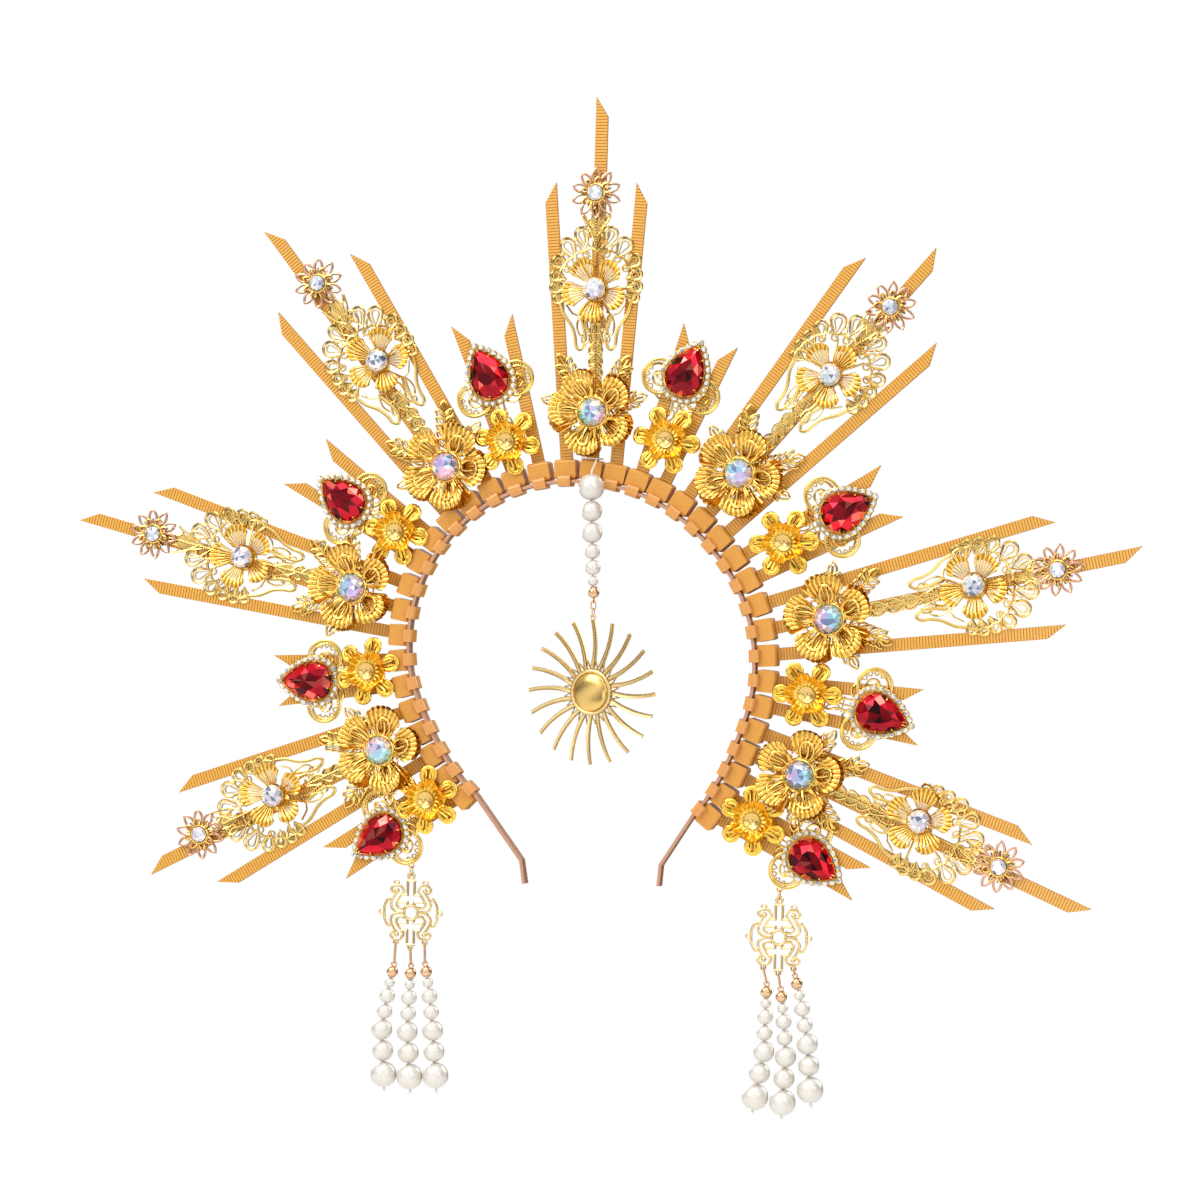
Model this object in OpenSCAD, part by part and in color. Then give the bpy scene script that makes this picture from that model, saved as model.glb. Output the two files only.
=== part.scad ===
// Halo crown: a flat headband strip carries a fan of strap ties, each closed
// round the strip by its own head and loop. Long rays of three ties hold a
// pierced panel, a rose, a blossom and a star; short pairs hold a red pear
// stone and a daisy. One bead string and a sun hang inside the ring, and a
// pierced connector with three pearl strings hangs at each end.
// The crown faces -Y. The origin is the highest point that a head touches.
// A heading is an angle in the ring's plane, clockwise from straight up.

/* [Headband] */
// Depth of the flat strip, front to back
band_w = 5; // [4:0.5:5]
// Thickness of the flat strip
band_t = 1.2; // [0.8:0.1:1.2]
// Length of the left leg below the last tie
left_leg = 34; // [20:1:45]
// Length of the right leg below the last tie
right_leg = 26; // [20:1:40]

/* [Ties] */
// Width of a strap
strap_w = 4.8; // [4:0.1:5]
// Thickness of a strap
strap_t = 1.2; // [1:0.1:1.4]
// Width of a head, along the headband
head_w = 8.3; // [7.5:0.1:8.4]
// Height of a head, away from the headband
head_h = 7.6; // [6:0.1:8.5]
// Depth of a head, front to back
head_d = 8; // [7:0.1:9]
// Length of the slanted cut at a strap's end
cut = 7.5; // [4:0.5:10]

/* [Flowers] */
// Reach of a rose's front petals
rose_r = 16.5; // [14:0.5:17]
// Reach of a rose's back petals
rose_back_r = 17.2; // [15:0.2:18]
// Reach of a blossom's petals
blossom_r = 12.6; // [10:0.2:13]
// Reach of a daisy's looped petals
daisy_r = 13.2; // [12:0.2:13.8]
// Reach of a tip star's petals
star_r = 9.3; // [8:0.1:10]

/* [Stones] */
// Width of a round crystal on a rose
rose_crystal = 10.6; // [8:0.2:11]
// Width of a round crystal on a blossom
blossom_crystal = 8.6; // [6:0.2:9]
// Width of a round crystal on a tip star
star_crystal = 6; // [5:0.5:6.5]
// Length of a red pear stone
pear_l = 19.5; // [17:0.5:20]
// Width of a red pear stone
pear_w = 14; // [12:0.5:14.5]
// Width of the stone border round a red stone
border = 3.1; // [2.5:0.1:3.3]

/* [Drops] */
// Tip radius of the sun's rays
sun_r = 27.5; // [24:0.5:28]
// Width of the sun's round face
sun_face = 17.6; // [13:0.2:18]
// Number of rays on the sun
sun_rays = 20; // [16:1:22]
// Turn of the sun away from the front
sun_turn = 15; // [0:1:20]
// Width of the openwork wires
wire = 0.9; // [0.8:0.1:1]
// Width of the bead thread
thread = 0.6; // [0.5:0.1:0.8]

/* [Hidden] */
$fn = 32;
gap = 0.15;          // clearance between neighbouring pieces
seat_y = -gap;       // where a piece laid on the straps has its back
plate = 0.8;         // thickness of pierced sheet

// Course of the headband: tie number, heading and radius about the ring centre
course = [
    [0, -138, 67.5], [3, -114, 67.3], [6, -91, 70.3], [9, -69, 71.8],
    [12, -46.5, 71.8], [15, -24, 70.2], [18, 0, 67.7], [21, 22.5, 65.8],
    [24, 47, 64.3], [27, 71.5, 65], [30, 95.5, 65.4], [33, 119, 66.2],
    [36, 141, 71.2]];
course_step = 3;
last_tie = 36;

// Rays: middle tie, rose radius, rose heading, ray heading, blossom and star
// distance from the rose, then length and heading of the middle tie, of the
// tie before it and of the tie after it
rays = [
    [3, 89.5, -114, -115.5, 46.5, 81, 129, -116.9, 106, -122, 105.5, -108.8],
    [8, 97.5, -74.5, -76.5, 46, 84.5, 142.5, -75.3, 112, -80.7, 116, -70.6],
    [13, 92.7, -38, -37, 48.5, 88.5, 140, -38.2, 112, -43.2, 113, -31.6],
    [18, 94.3, 0.5, -0.5, 47, 83.5, 147, 0.6, 114.5, -4.5, 115.5, 4.5],
    [23, 92, 39, 42, 50.5, 84.5, 139.5, 41.4, 120, 35.2, 114.5, 48.8],
    [28, 95, 79.5, 77, 55, 87.5, 149.5, 77.6, 120.5, 72.5, 117.5, 84.3],
    [33, 93, 116.5, 113, 49, 82, 146.5, 113.5, 117, 109.5, 114, 116.8]];

// Red stones: first tie of the pair, daisy radius, daisy heading, stone
// distance and heading from the daisy, heading of the stone's point, then
// length and heading of the two ties
pears = [
    [0, 83, -131.5, 25, -127, -126, 62, -123.8, 62, -122.8],
    [5, 87, -94, 25.5, -100, -90, 56.5, -98, 56, -92],
    [10, 90, -58, 26.2, -60.5, -51, 68, -60.4, 63.5, -51.8],
    [15, 89, -21.5, 27.6, -19, -27, 69, -22.3, 66.5, -13.8],
    [20, 89, 19.5, 27.3, 15.5, 25, 66.5, 17.5, 65.8, 25.6],
    [25, 88.5, 59, 26.6, 61.5, 64, 70, 58.7, 68, 64.6],
    [30, 86.5, 97.5, 29, 104, 109, 64, 94, 65, 100.5],
    [35, 88.5, 132, 27.5, 122.5, 125, 66, 116.8, 67, 117.2]];

// Lobes of a panel: heading from the blossom, reach, end radius, 1 if pierced
panel_lobes = [
    [15, 25, 3, 1], [34, 23.6, 3.2, 1], [54, 21.4, 2.7, 1], [71, 19.4, 2.4, 1],
    [87, 18.6, 2.3, 0], [103, 17.8, 2.2, 0]];

// Course of a panel's lower horn, right of its middle
horn = [[14.2, -4], [12.6, -9.2], [9.5, -13.8], [8.1, -18], [7.7, -21.4],
    [6, -23], [4.3, -21], [4.1, -17.5], [5.2, -13], [6.2, -10]];

// Petal profiles: share of the petal's reach, height above the hub
rose_back_rows = [[0.34, 0.3], [1, 4.2]];
rose_front_rows = [[0.34, 0.9], [0.66, 4.1], [1, 6.6]];
blossom_rows = [[0.3, 0.2], [1, 2.9]];

// Turn of each rose and of each daisy on its own spot
rose_turns = [-15, -6, -10, -17, -13, -14, -19];
daisy_turns = [16, -15, -22, 0, 20, 28, -6, -13];
// Blossoms: turn, offset across the ray, offset along it
blossom_spots = [[30, 1.6, 0.6], [-10, 0.4, 0.6], [-26, 1.8, 1.2], [-30, 0, 0],
    [0, 0.3, 0], [25, -1, 0.9], [-28, -3, -0.9]];

// Leaves beside a rose: heading from the ray, reach
rose_leaves = [[-75, 21.5], [-33, 26.5], [33, 25.5], [73, 21.5]];

// Cut of the round crystals and of the red stones: share of the outline,
// height above the flat back
round_cut = [[0.82, 0], [1, 0.15], [0.78, 0.36], [0.5, 0.45]];
pear_cut = [[0.9, 0], [1, 1.4], [0.76, 3.2], [0.44, 4.2]];

// Wires of a connector's upper right quarter
scroll_in = [[2.6, 1.9], [4.6, 1.7], [5.8, 3.4], [4.7, 5.7], [2.9, 8.2],
    [4.2, 10.2], [6.8, 10.2], [8, 8.6], [6.7, 7.6], [5.6, 8.4]];
scroll_out = [[3.2, 0], [6.6, 0.6], [8, 3], [7, 5.8], [5.4, 8]];
side_fan = [[7.8, 4.6], [9, 5.2], [10.4, 2.6], [10.7, 0]];

// Bead strings: across and down from the connector's middle to the top bead,
// then across to the fifth bead and to the last bead
bead_widths = [4, 6, 6, 8, 8, 10];
left_strings = [[-7, -22.9, -10.8, -9.8], [0.3, -23.3, -0.6, 0.6], [6.6, -22.4, 9.6, 11]];
right_strings = [[-4.4, -20.6, -5, -8], [1.4, -22.2, 3.4, 2.5], [7.2, -17, 11.6, 13]];

// Centre drop, about the ring's centre
centre_widths = [10, 8, 8, 6, 6, 4];
drop_y = -11.9;      // the beads hang just ahead of the tie heads
top_bead = [2.8, 65.6];
low_bead_x = 4.4;    // last bead and everything under it

band_clear = 0.2;
tie_run = 3.5;                              // straight run of the strip past an end tie
band_out = band_t / 2 + band_clear;         // headband's middle to a head
loop_in = band_out + strap_t;               // headband's middle to a loop's inner face
panel_disc = 13;                            // round middle of a panel
back_turn = 6;                              // turn of a rose's back petals from the front ones
rose_seat = 2.75;                           // height of a rose's crystal seat
blossom_seat = 1;                           // height of a blossom's crystal seat
bead_gap = 0.1;
bore = 0.7;
thread_ring = 4.2;                          // middle radius of the thread round the tie
loop_sink = 0.15;                           // how far a soldered loop sinks in
link_1 = 3.4;
link_2 = 3.2;
sun_bow = 1.2;                              // how far a ray bows to one side
sun_ray_w = 1.6;
dome_r = 7.3;                               // radius of the domed face
sun_t = 1.2;                                // thickness of the sun's rays
head_y = -4.2;                              // front of a head
head_round = 1.2;
loop_rise = 1.6;                            // how far a loop climbs its head
loop_round = 1.4;
void_d = band_w + 2 * band_clear;           // room for the strip in a loop
middle = last_tie / 2;
panel_y = seat_y - plate;                   // front of a panel
on_panel_y = panel_y - gap;                 // back of what sits on a panel
hub_h = 2.4;                                // height of a rose's hub
spine_gap = 8.5;                            // end of a panel's spine to the rose
petal_tilt = 9;                             // lean of a daisy's outer petals
set_h = 1.05;                               // thickness of a pear setting
lobe_x = 9.2;                               // side lobes of a pear setting
lobe_z = -6.5;
lobe_r = 6.6;
eye_r = 0.95;                               // middle radius of a wire eye
eye_wire = 0.3;
ring_r = 1.75;                              // middle radius of a jump ring
link_wire = 0.25;
link_half = 0.9;                            // half width of an oval link
hang_left = 160;                            // where an end drop's eye sits on its lobe
hang_right = 200;
tip_r = 2.2;                                // radius of a gold bead tip
conn_t = 1;                                 // thickness of a connector
conn_top = 14.1;                            // connector's middle to its top eye
conn_eye = 1.65;
conn_hole = 0.65;
low_eyes = [[-5.8, -11.5], [0, -13.4], [5.8, -11.5]];
low_eye_r = 1.25;
low_hole = 0.6;

function unit(v) = v / norm(v);
function heading_of(v) = atan2(v.x, v.y);
function ray_at(r, a) = r * [sin(a), cos(a)];
// Row k, run on straight past either end
function row_at(rows, k) = let (n = len(rows))
    k < 0 ? 2 * rows[0] - rows[1] : k > n - 1 ? 2 * rows[n - 1] - rows[n - 2] : rows[k];
function blend(a, b, c, d, u) = (2 * b + (c - a) * u + (2 * a - 5 * b + 4 * c - d) * u * u
    + (3 * b - a - 3 * c + d) * u * u * u) / 2;
// Point, row or number at t on a smooth course through rows, t in rows
function along(rows, t) = let (k = min(floor(t), len(rows) - 2), u = t - k)
    blend(row_at(rows, k - 1), rows[k], rows[k + 1], row_at(rows, k + 2), u);
function smooth(points, n) = [for (k = [0 : n * (len(points) - 1)]) along(points, k / n)];
function course_at(i) = along(course, max(0, min(last_tie, i)) / course_step);
// Middle of the headband at tie i, about the ring's centre
function seat(i) = let (c = course_at(i)) ray_at(c[2], c[1]);
function outward(i) = heading_of(unit(seat(i + 0.3) - seat(i - 0.3))) - 90;
ring_z = -(norm(seat(middle)) - loop_in);
// Direction along a list of points at number k
function way(points, k) =
    unit(points[min(k + 1, len(points) - 1)] - points[max(k - 1, 0)]);
function edge(points, k, h) = let (d = way(points, k)) points[k] + h * [d.y, -d.x];
function ribbon(points, w) = concat(
    [for (k = [0 : len(points) - 1]) edge(points, k, w / 2)],
    [for (k = [len(points) - 1 : -1 : 0]) edge(points, k, -w / 2)]);
// Pear outline with its point up, t from 0 at the point to 360
pear_peak = max([for (t = [90 : 2 : 130]) sin(t) * pow(sin(t / 2), 0.8)]);
function pear_point(l, w, t) =
    [w / 2 * sin(t) * pow(abs(sin(t / 2)), 0.8) / pear_peak, l / 2 * cos(t)];
function pear_line(l, w, n) = [for (k = [0 : n - 1]) pear_point(l, w, 360 * k / n)];
// Middle of a ray's rose or a pear stone's daisy, and of the stone
function flower_at(row) = ray_at(row[1], row[2]);
function stone_at(row) = flower_at(row) + ray_at(row[3], row[4]);
function lobe_at(row, side) = let (h = row[5])
    stone_at(row) + side * lobe_x * [cos(h), -sin(h)] + ray_at(lobe_z, h);
function hang_eye(row, side, a) = lobe_at(row, side) + ray_at(lobe_r + 1, a);
left_hang = hang_eye(pears[0], -1, hang_left);
right_hang = hang_eye(pears[7], 1, hang_right);
hang_y = seat_y - plate / 2;

// Stands flat work up in the ring's plane, its back at y
module upright(y, t) {
    translate([0, y, 0]) rotate([90, 0, 0]) linear_extrude(t) children();
}
// Moves work to a point about the ring's centre and turns it to a heading
module place(p, heading, y = 0) {
    translate([p.x, y, ring_z + p.y]) rotate([0, heading, 0]) children();
}
// Fuses soldered pieces into one skin
module soldered() {
    resize([0, 0, 0]) union() children();
}
module rounded(w, h, r) {
    square([w - 2 * r, h], center = true);
    square([w, h - 2 * r], center = true);
    for (x = [-1, 1], y = [-1, 1])
        translate([x * (w / 2 - r), y * (h / 2 - r)]) circle(r);
}
module strand(points, w) {
    polygon(ribbon(points, w));
}
// Closed skin through equal rings of points, flat at both ends
module stacked(rings) {
    n = len(rings[0]);
    m = len(rings);
    polyhedron([for (ring = rings) each ring], concat(
        [[for (k = [n - 1 : -1 : 0]) k]],
        [for (j = [0 : m - 2], k = [0 : n - 1]) let (q = (k + 1) % n,
            a = j * n + k, b = a + n, c = j * n + n + q, d = c - n)
            each 2 * j < m - 1 ? [[c, b, a], [d, c, a]] : [[d, b, a], [d, c, b]]],
        [[for (k = [0 : n - 1]) (m - 1) * n + k]]));
}
// Cut stone on an outline, its back at y = 0
module cut_stone(outline, rows, h) {
    stacked([for (row = rows) [for (p = outline) [p.x * row[0], -row[1] * h, p.y * row[0]]]]);
}
// Layer of petals on a hub, facing the front, its back at y = 0
module petals(count, reach, rows, sides, t, notch) {
    n = count * sides;
    function lobe(k) = notch + (1 - notch) * pow(abs(sin(180 * k / sides)), 0.7);
    function ring(row, h) = [for (k = [0 : n - 1])
        let (r = reach * row[0] * (1 - row[0] * (1 - lobe(k))), a = 360 * k / n)
            [r * sin(a), -row[1] - h, r * cos(a)]];
    m = len(rows);
    stacked(concat(
        [for (j = [0 : m - 1]) ring(rows[j], 0)],
        [for (j = [m - 1 : -1 : 0]) ring(rows[j], t)]));
}
module wire_eye(r, w) {
    rotate_extrude() translate([r, 0]) circle(w);
}
// Closed wire through points in the XZ plane
module wire_loop(points, w, sides = 5) {
    n = len(points);
    polyhedron([for (k = [0 : n - 1], j = [0 : sides - 1]) let (
        d = unit(points[(k + 1) % n] - points[(k + n - 1) % n]), r = w * cos(360 * j / sides))
            [points[k].x + r * d.y, w * sin(360 * j / sides), points[k].y - r * d.x]],
        [for (k = [0 : n - 1], j = [0 : sides - 1]) let (
            next = (k + 1) % n * sides, i = (j + 1) % sides)
            each [[k * sides + j, next + i, k * sides + i], [k * sides + j, next + j, next + i]]]);
}
// Upright oval link, l long between its wire middles
module oval_link(l, half, w) {
    reach = l / 2 - half;
    wire_loop(concat(
        [for (a = [0 : 36 : 180]) [half * cos(a), reach + half * sin(a)]],
        [for (a = [180 : 36 : 360]) [half * cos(a), half * sin(a) - reach]]), w);
}
module drilled_bead(d, bore) {
    difference() {
        sphere(d = d);
        cylinder(h = d + 1, r = bore, center = true);
    }
}
// Chain of beads one under another: how far bead k lies below the first
function stack_to(widths, k) =
    k == 0 ? 0 : stack_to(widths, k - 1) + (widths[k - 1] + widths[k]) / 2 + bead_gap;
centre_chain = concat(centre_widths, [2 * tip_r]);
string_chain = concat([2 * tip_r], bead_widths);
function centre_bead(k) = let (n = len(centre_widths)) [
    top_bead.x + (low_bead_x - top_bead.x) * k / n, top_bead.y - stack_to(centre_chain, k)];
function string_bead(row, k) = [
    lookup(k, [[0, row[0]], [4, row[2]], [6, row[3]]]), row[1] - stack_to(string_chain, k)];
centre_tip = centre_bead(len(centre_widths));
// Wire middles down the chain above the sun
chain_loop = centre_tip.y - tip_r - eye_r + loop_sink;
link_1_top = chain_loop - eye_r + eye_wire + link_wire + gap;
link_1_low = link_1_top - link_1;
link_2_top = link_1_low + 2 * link_wire + gap;
link_2_low = link_2_top - link_2;
sun_pivot = link_2_low + link_wire + eye_wire + gap;
sun_mid = sun_pivot - 2 * eye_r - sun_r + loop_sink;
// Wire middles of an end drop, from its pivot down
ring_drop = ring_r - eye_wire - link_wire - gap;
conn_drop = ring_drop + ring_r - link_wire - 0.22 + conn_hole;
function pivot_of(eye) = eye - [0, eye_r];
function conn_mid(eye) = pivot_of(eye) - [0, conn_drop + conn_top];

module headband() {
    left_knee = seat(0) + ray_at(left_leg, 142);
    right_knee = seat(last_tie) + ray_at(right_leg, -146.5);
    path = concat(
        [left_knee + ray_at(9, 171), left_knee, seat(0) + ray_at(tie_run, outward(0) - 90)],
        [for (k = [0 : 0.5 : last_tie]) seat(k)],
        [seat(last_tie) + ray_at(tie_run, outward(last_tie) + 90), right_knee,
         right_knee + ray_at(8, -175)]);
    color("rosybrown") translate([0, 0, ring_z])
        upright(-band_clear, band_w) strand(path, band_t);
}

module tie_head() {
    mid = band_out + head_h / 2;
    intersection() {
        upright(head_y + head_d, head_d)
            translate([0, mid]) rounded(head_w, head_h, head_round);
        rotate([90, 0, 90]) linear_extrude(head_w, center = true)
            translate([head_y + head_d / 2, mid]) rounded(head_d, head_h, head_round);
    }
}
module tie_loop() {
    deep = void_d + 2 * strap_t;
    tall = loop_in + band_out + loop_rise;
    rotate([90, 0, 90]) linear_extrude(strap_w, center = true) difference() {
        translate([strap_t - deep / 2, tall / 2 - loop_in]) rounded(deep, tall, loop_round);
        translate([-void_d / 2, 0]) rounded(void_d, 2 * band_out, band_clear);
    }
}
// Strap closed round the headband at tie number i, cut to a point on one side
module tie(i, length, heading, point_side) {
    union() {
        place(seat(i), outward(i)) {
            tie_head();
            tie_loop();
        }
        place(seat(i), heading) upright(strap_t, strap_t) polygon([
            [-strap_w / 2, band_out + head_h / 2], [strap_w / 2, band_out + head_h / 2],
            [strap_w / 2, length - (point_side > 0 ? 0 : cut)],
            [-strap_w / 2, length - (point_side > 0 ? cut : 0)]]);
    }
}
module middle_ties() {
    color("goldenrod") for (row = rays) tie(row[0], row[6], row[7], -1);
}
module side_ties() {
    color("goldenrod") for (row = rays) {
        tie(row[0] - 1, row[8], row[9], 1);
        tie(row[0] + 1, row[10], row[11], -1);
    }
}
module short_ties() {
    color("goldenrod") for (row = pears) {
        tie(row[0], row[6], row[7], -1);
        tie(row[0] + 1, row[8], row[9], 1);
    }
}

// Teardrop with its point at start and its round end at reach
module tear(start, reach, r) {
    mid = reach - r;
    lean = asin(r / (mid - start));
    inset = 0.97 * r;
    translate([0, mid]) circle(r);
    polygon([[0, start], [inset * cos(lean), mid - inset * sin(lean)],
        [0, mid], [-inset * cos(lean), mid - inset * sin(lean)]]);
}
// Scalloped strip over the middle strap
module spine(low, high) {
    function half(z) = 1.3 + 0.9 * abs(sin(180 * z / 8));
    steps = 24;
    zs = [for (k = [0 : steps]) low + (high - low) * k / steps];
    polygon(concat([for (z = zs) [half(z), z]], [for (k = [steps : -1 : 0]) [-half(zs[k]), zs[k]]]));
}
module ray_panel(row) {
    color("gold") place(flower_at(row) + ray_at(row[4], row[3]), row[3]) upright(seat_y, plate)
        difference() {
            union() {
                circle(panel_disc);
                for (side = [-1, 1]) {
                    for (lobe = panel_lobes)
                        rotate(-side * lobe[0]) tear(panel_disc - 3, lobe[1], lobe[2]);
                    strand([for (p = smooth(horn, 2)) [side * p.x, p.y]], wire);
                }
                spine(spine_gap - row[4], row[5] - row[4] + 2);
            }
            for (side = [-1, 1], lobe = panel_lobes) if (lobe[3] == 1)
                rotate(-side * lobe[0]) tear(panel_disc, lobe[1] - wire, lobe[2] - wire);
        }
}
module leaf(reach) {
    w = 3.2;
    start = 4;
    steps = 4;
    function half(k) = w * pow(sin(180 * k / steps), 0.8);
    zs = [for (k = [0 : steps]) start + (reach - start) * k / steps];
    polygon(concat([for (k = [0 : steps]) [half(k), zs[k]]],
        [for (k = [steps - 1 : -1 : 1]) [-half(k), zs[k]]]));
}
module rose(i) {
    row = rays[i];
    leaf_y = on_panel_y;
    color("orange") place(flower_at(row), row[3]) soldered() {
        translate([0, seat_y, 0]) rotate([90, 0, 0]) cylinder(h = rose_seat, r = 4.2, $fn = 12);
        translate([0, seat_y, 0]) rotate([90, 0, 0]) cylinder(h = hub_h, r = 6, $fn = 12);
        translate([0, leaf_y, 0]) rotate([0, rose_turns[i] - back_turn, 0])
            petals(5, rose_back_r, rose_back_rows, 5, 0.5, 0.56);
        translate([0, leaf_y - 0.3, 0]) rotate([0, rose_turns[i], 0])
            petals(5, rose_r, rose_front_rows, 5, 0.5, 0.44);
        upright(leaf_y, 0.6) for (one = rose_leaves) rotate(-one[0]) leaf(one[1]);
    }
}
function blossom_at(i) = let (row = rays[i], spot = blossom_spots[i])
    flower_at(row) + ray_at(row[4] + spot[2], row[3]) + ray_at(spot[1], row[3] + 90);
module ray_blossoms() {
    color("gold") soldered() for (i = [0 : len(rays) - 1])
        place(blossom_at(i), rays[i][3] + blossom_spots[i][0], on_panel_y) {
            rotate([90, 0, 0]) cylinder(h = blossom_seat, r = 3.4, $fn = 12);
            petals(5, blossom_r, blossom_rows, 5, 0.5, 0.5);
        }
}
module star(count, reach, root) {
    polygon([for (k = [0 : 4 * count - 1]) let (m = k % 4)
        ray_at(m == 0 ? root : m == 2 ? reach : (root + reach) / 2 + 0.4, 90 * k / count)]);
}
module tip_stars() {
    color("rosybrown") for (row = rays)
        place(flower_at(row) + ray_at(row[5], row[3]), row[3], on_panel_y) {
            upright(0, 0.6) star(10, star_r, 4.6);
            upright(-0.6, 0.6) star(8, 6.4, 3.8);
        }
}
module crystal(d) {
    cut_stone([for (k = [0 : 9]) ray_at(d / 2, 36 * k)], round_cut, d);
}
module rose_crystals() {
    color("lavender") for (row = rays)
        place(flower_at(row), row[3], seat_y - rose_seat - gap) crystal(rose_crystal);
}
module blossom_crystals() {
    color("lavender") for (i = [0 : len(rays) - 1])
        place(blossom_at(i), rays[i][3], on_panel_y - blossom_seat - gap)
            crystal(blossom_crystal);
}
module star_crystals() {
    color("lavender") for (row = rays)
        place(flower_at(row) + ray_at(row[5], row[3]), row[3], on_panel_y - 1.2 - gap)
            crystal(star_crystal);
}

module pear_setting(row, eye) {
    l = pear_l + 2 * border;
    w = pear_w + 2 * border;
    color("gold") union() {
        place(stone_at(row), row[5]) {
            upright(seat_y, set_h) polygon(pear_line(l, w, 40));
            upright(seat_y - set_h, 0.7) difference() {
                polygon(pear_line(l, w, 40));
                polygon(pear_line(pear_l + 0.4, pear_w + 0.4, 40));
            }
            upright(seat_y - set_h, 2.2) difference() {
                polygon(pear_line(pear_l + 1.8, pear_w + 1.8, 40));
                polygon(pear_line(pear_l + 0.4, pear_w + 0.4, 40));
            }
            upright(seat_y, plate) for (side = [-1, 1])
                translate([side * lobe_x, lobe_z]) difference() {
                    circle(lobe_r + wire / 2);
                    circle(lobe_r - wire / 2);
                }
        }
        place(flower_at(row), row[4]) upright(seat_y, plate)
            translate([0, row[3] / 2 - 4.5]) square([7, row[3] - 3], center = true);
        if (len(eye) == 2) place(eye, 0, hang_y) rotate([90, 0, 0]) wire_eye(eye_r, eye_wire);
    }
}
module red_stone(row) {
    color("crimson") place(stone_at(row), row[5], seat_y - set_h - gap)
        cut_stone(pear_line(pear_l, pear_w, 14), pear_cut, 1);
}
// Daisy on a short stem that lifts it over the tie heads; the petals that
// point away from the ring lean back
module daisy(row, turn) {
    lift = on_panel_y - head_y + gap;
    color("gold") place(flower_at(row), row[2] + turn, on_panel_y) rotate([90, 0, 0]) {
        cylinder(h = lift + 0.4, r = 3);
        translate([0, 0, lift]) {
            linear_extrude(0.8) circle(5);
            for (k = [0 : 5]) let (
                from_ring = abs((turn + 60 * k + 540) % 360 - 180),
                tilt = from_ring > 115 ? 0 : petal_tilt)
                rotate(-60 * k) rotate([-tilt, 0, 0]) linear_extrude(0.8) tear(1, daisy_r, 3.3);
            rotate_extrude() polygon([[0, 0.6], [4.6, 0.6], [7.6, 3], [7.2, 3.4],
                [4.3, 1.6], [3.2, 1.6], [2.6, 2.4], [0, 1.4]]);
        }
    }
}

// Round tube along points, never running straight along X
module tube(points, r, sides) {
    n = len(points);
    stacked([for (k = [0 : n - 1]) let (
        d = unit(points[min(k + 1, n - 1)] - points[max(k - 1, 0)]),
        a = unit(cross(d, [1, 0, 0])), b = cross(d, a))
            [for (j = [0 : sides - 1]) let (t = -360 * j / sides)
                points[k] + r * (cos(t) * a + sin(t) * b)]]);
}
module drop_thread() {
    beads = [for (k = [0 : len(centre_widths)]) centre_bead(k)];
    start = beads[0];
    head_top = norm(seat(middle)) + band_out + head_h;
    ring_z0 = head_top + thread / 2 + 2 * gap;
    path = concat(
        [[start.x, -3, ring_z0], [start.x, -4.4, ring_z0 - 0.2],
         [start.x, -7, ring_z0 - 2.4], [start.x, drop_y + 0.6, start.y + 6.4],
         [start.x, drop_y, start.y + 5]],
        [for (p = beads) [p.x, drop_y, p.y]]);
    color("white") translate([0, 0, ring_z]) soldered() {
        translate([0, 0, ring_z0]) rotate_extrude($fn = 16)
            translate([thread_ring, 0]) circle(thread / 2, $fn = 6);
        tube(path, thread / 2, 6);
    }
}
module drop_pearls() {
    color("white") for (k = [0 : len(centre_widths) - 1])
        place(centre_bead(k), 0, drop_y) drilled_bead(centre_widths[k], bore);
}
// Gold bead with a blind bore for the thread and a loop on its other side
module bead_tip(bore_up, turn) {
    s = bore_up ? 1 : -1;
    difference() {
        union() {
            sphere(tip_r);
            translate([0, 0, -s * (tip_r + eye_r - loop_sink)])
                rotate([90, 0, turn]) wire_eye(eye_r, eye_wire);
        }
        translate([0, 0, s * tip_r / 2 - s * 0.3]) cylinder(h = tip_r + 0.9, r = bore, center = true);
    }
}
module drop_chain() {
    color("gold") {
        place(centre_tip, 0, drop_y) bead_tip(true, 90);
        place([low_bead_x, (link_1_top + link_1_low) / 2], 0, drop_y)
            oval_link(link_1, link_half, link_wire);
        place([low_bead_x, (link_2_top + link_2_low) / 2], 0, drop_y)
            rotate([0, 0, 90 - sun_turn]) oval_link(link_2, link_half, link_wire);
    }
}
// One bowed ray of the sun, pointing up
module sun_ray() {
    low = sun_face / 2 - 1;
    steps = 6;
    pts = [for (k = [0 : steps]) let (u = k / steps)
        [4 * sun_bow * u * (1 - u), low + (sun_r - low) * u]];
    strand(pts, sun_ray_w);
}
module sun_pendant() {
    face = sun_face / 2;
    front = sun_t / 2;
    color("gold") place([low_bead_x, sun_mid], 0, drop_y) rotate([0, 0, -sun_turn]) {
        upright(front, sun_t) {
            for (k = [0 : sun_rays - 1]) rotate(-360 * k / sun_rays) sun_ray();
            star(sun_rays, face + 2.8, face + 0.2);
        }
        rotate([90, 0, 0]) rotate_extrude() polygon(concat(
            [[0, -front], [face, -front], [face, front + 0.9],
             [face - 1, front + 0.9], [face - 1.3, front + 0.2]],
            [for (a = [80 : -16 : 0]) [dome_r * sin(a), front + 0.2 + 2 * cos(a)]]));
        translate([0, 0, sun_r + eye_r - loop_sink]) rotate([90, 0, 0]) wire_eye(eye_r, eye_wire);
    }
}

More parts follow.
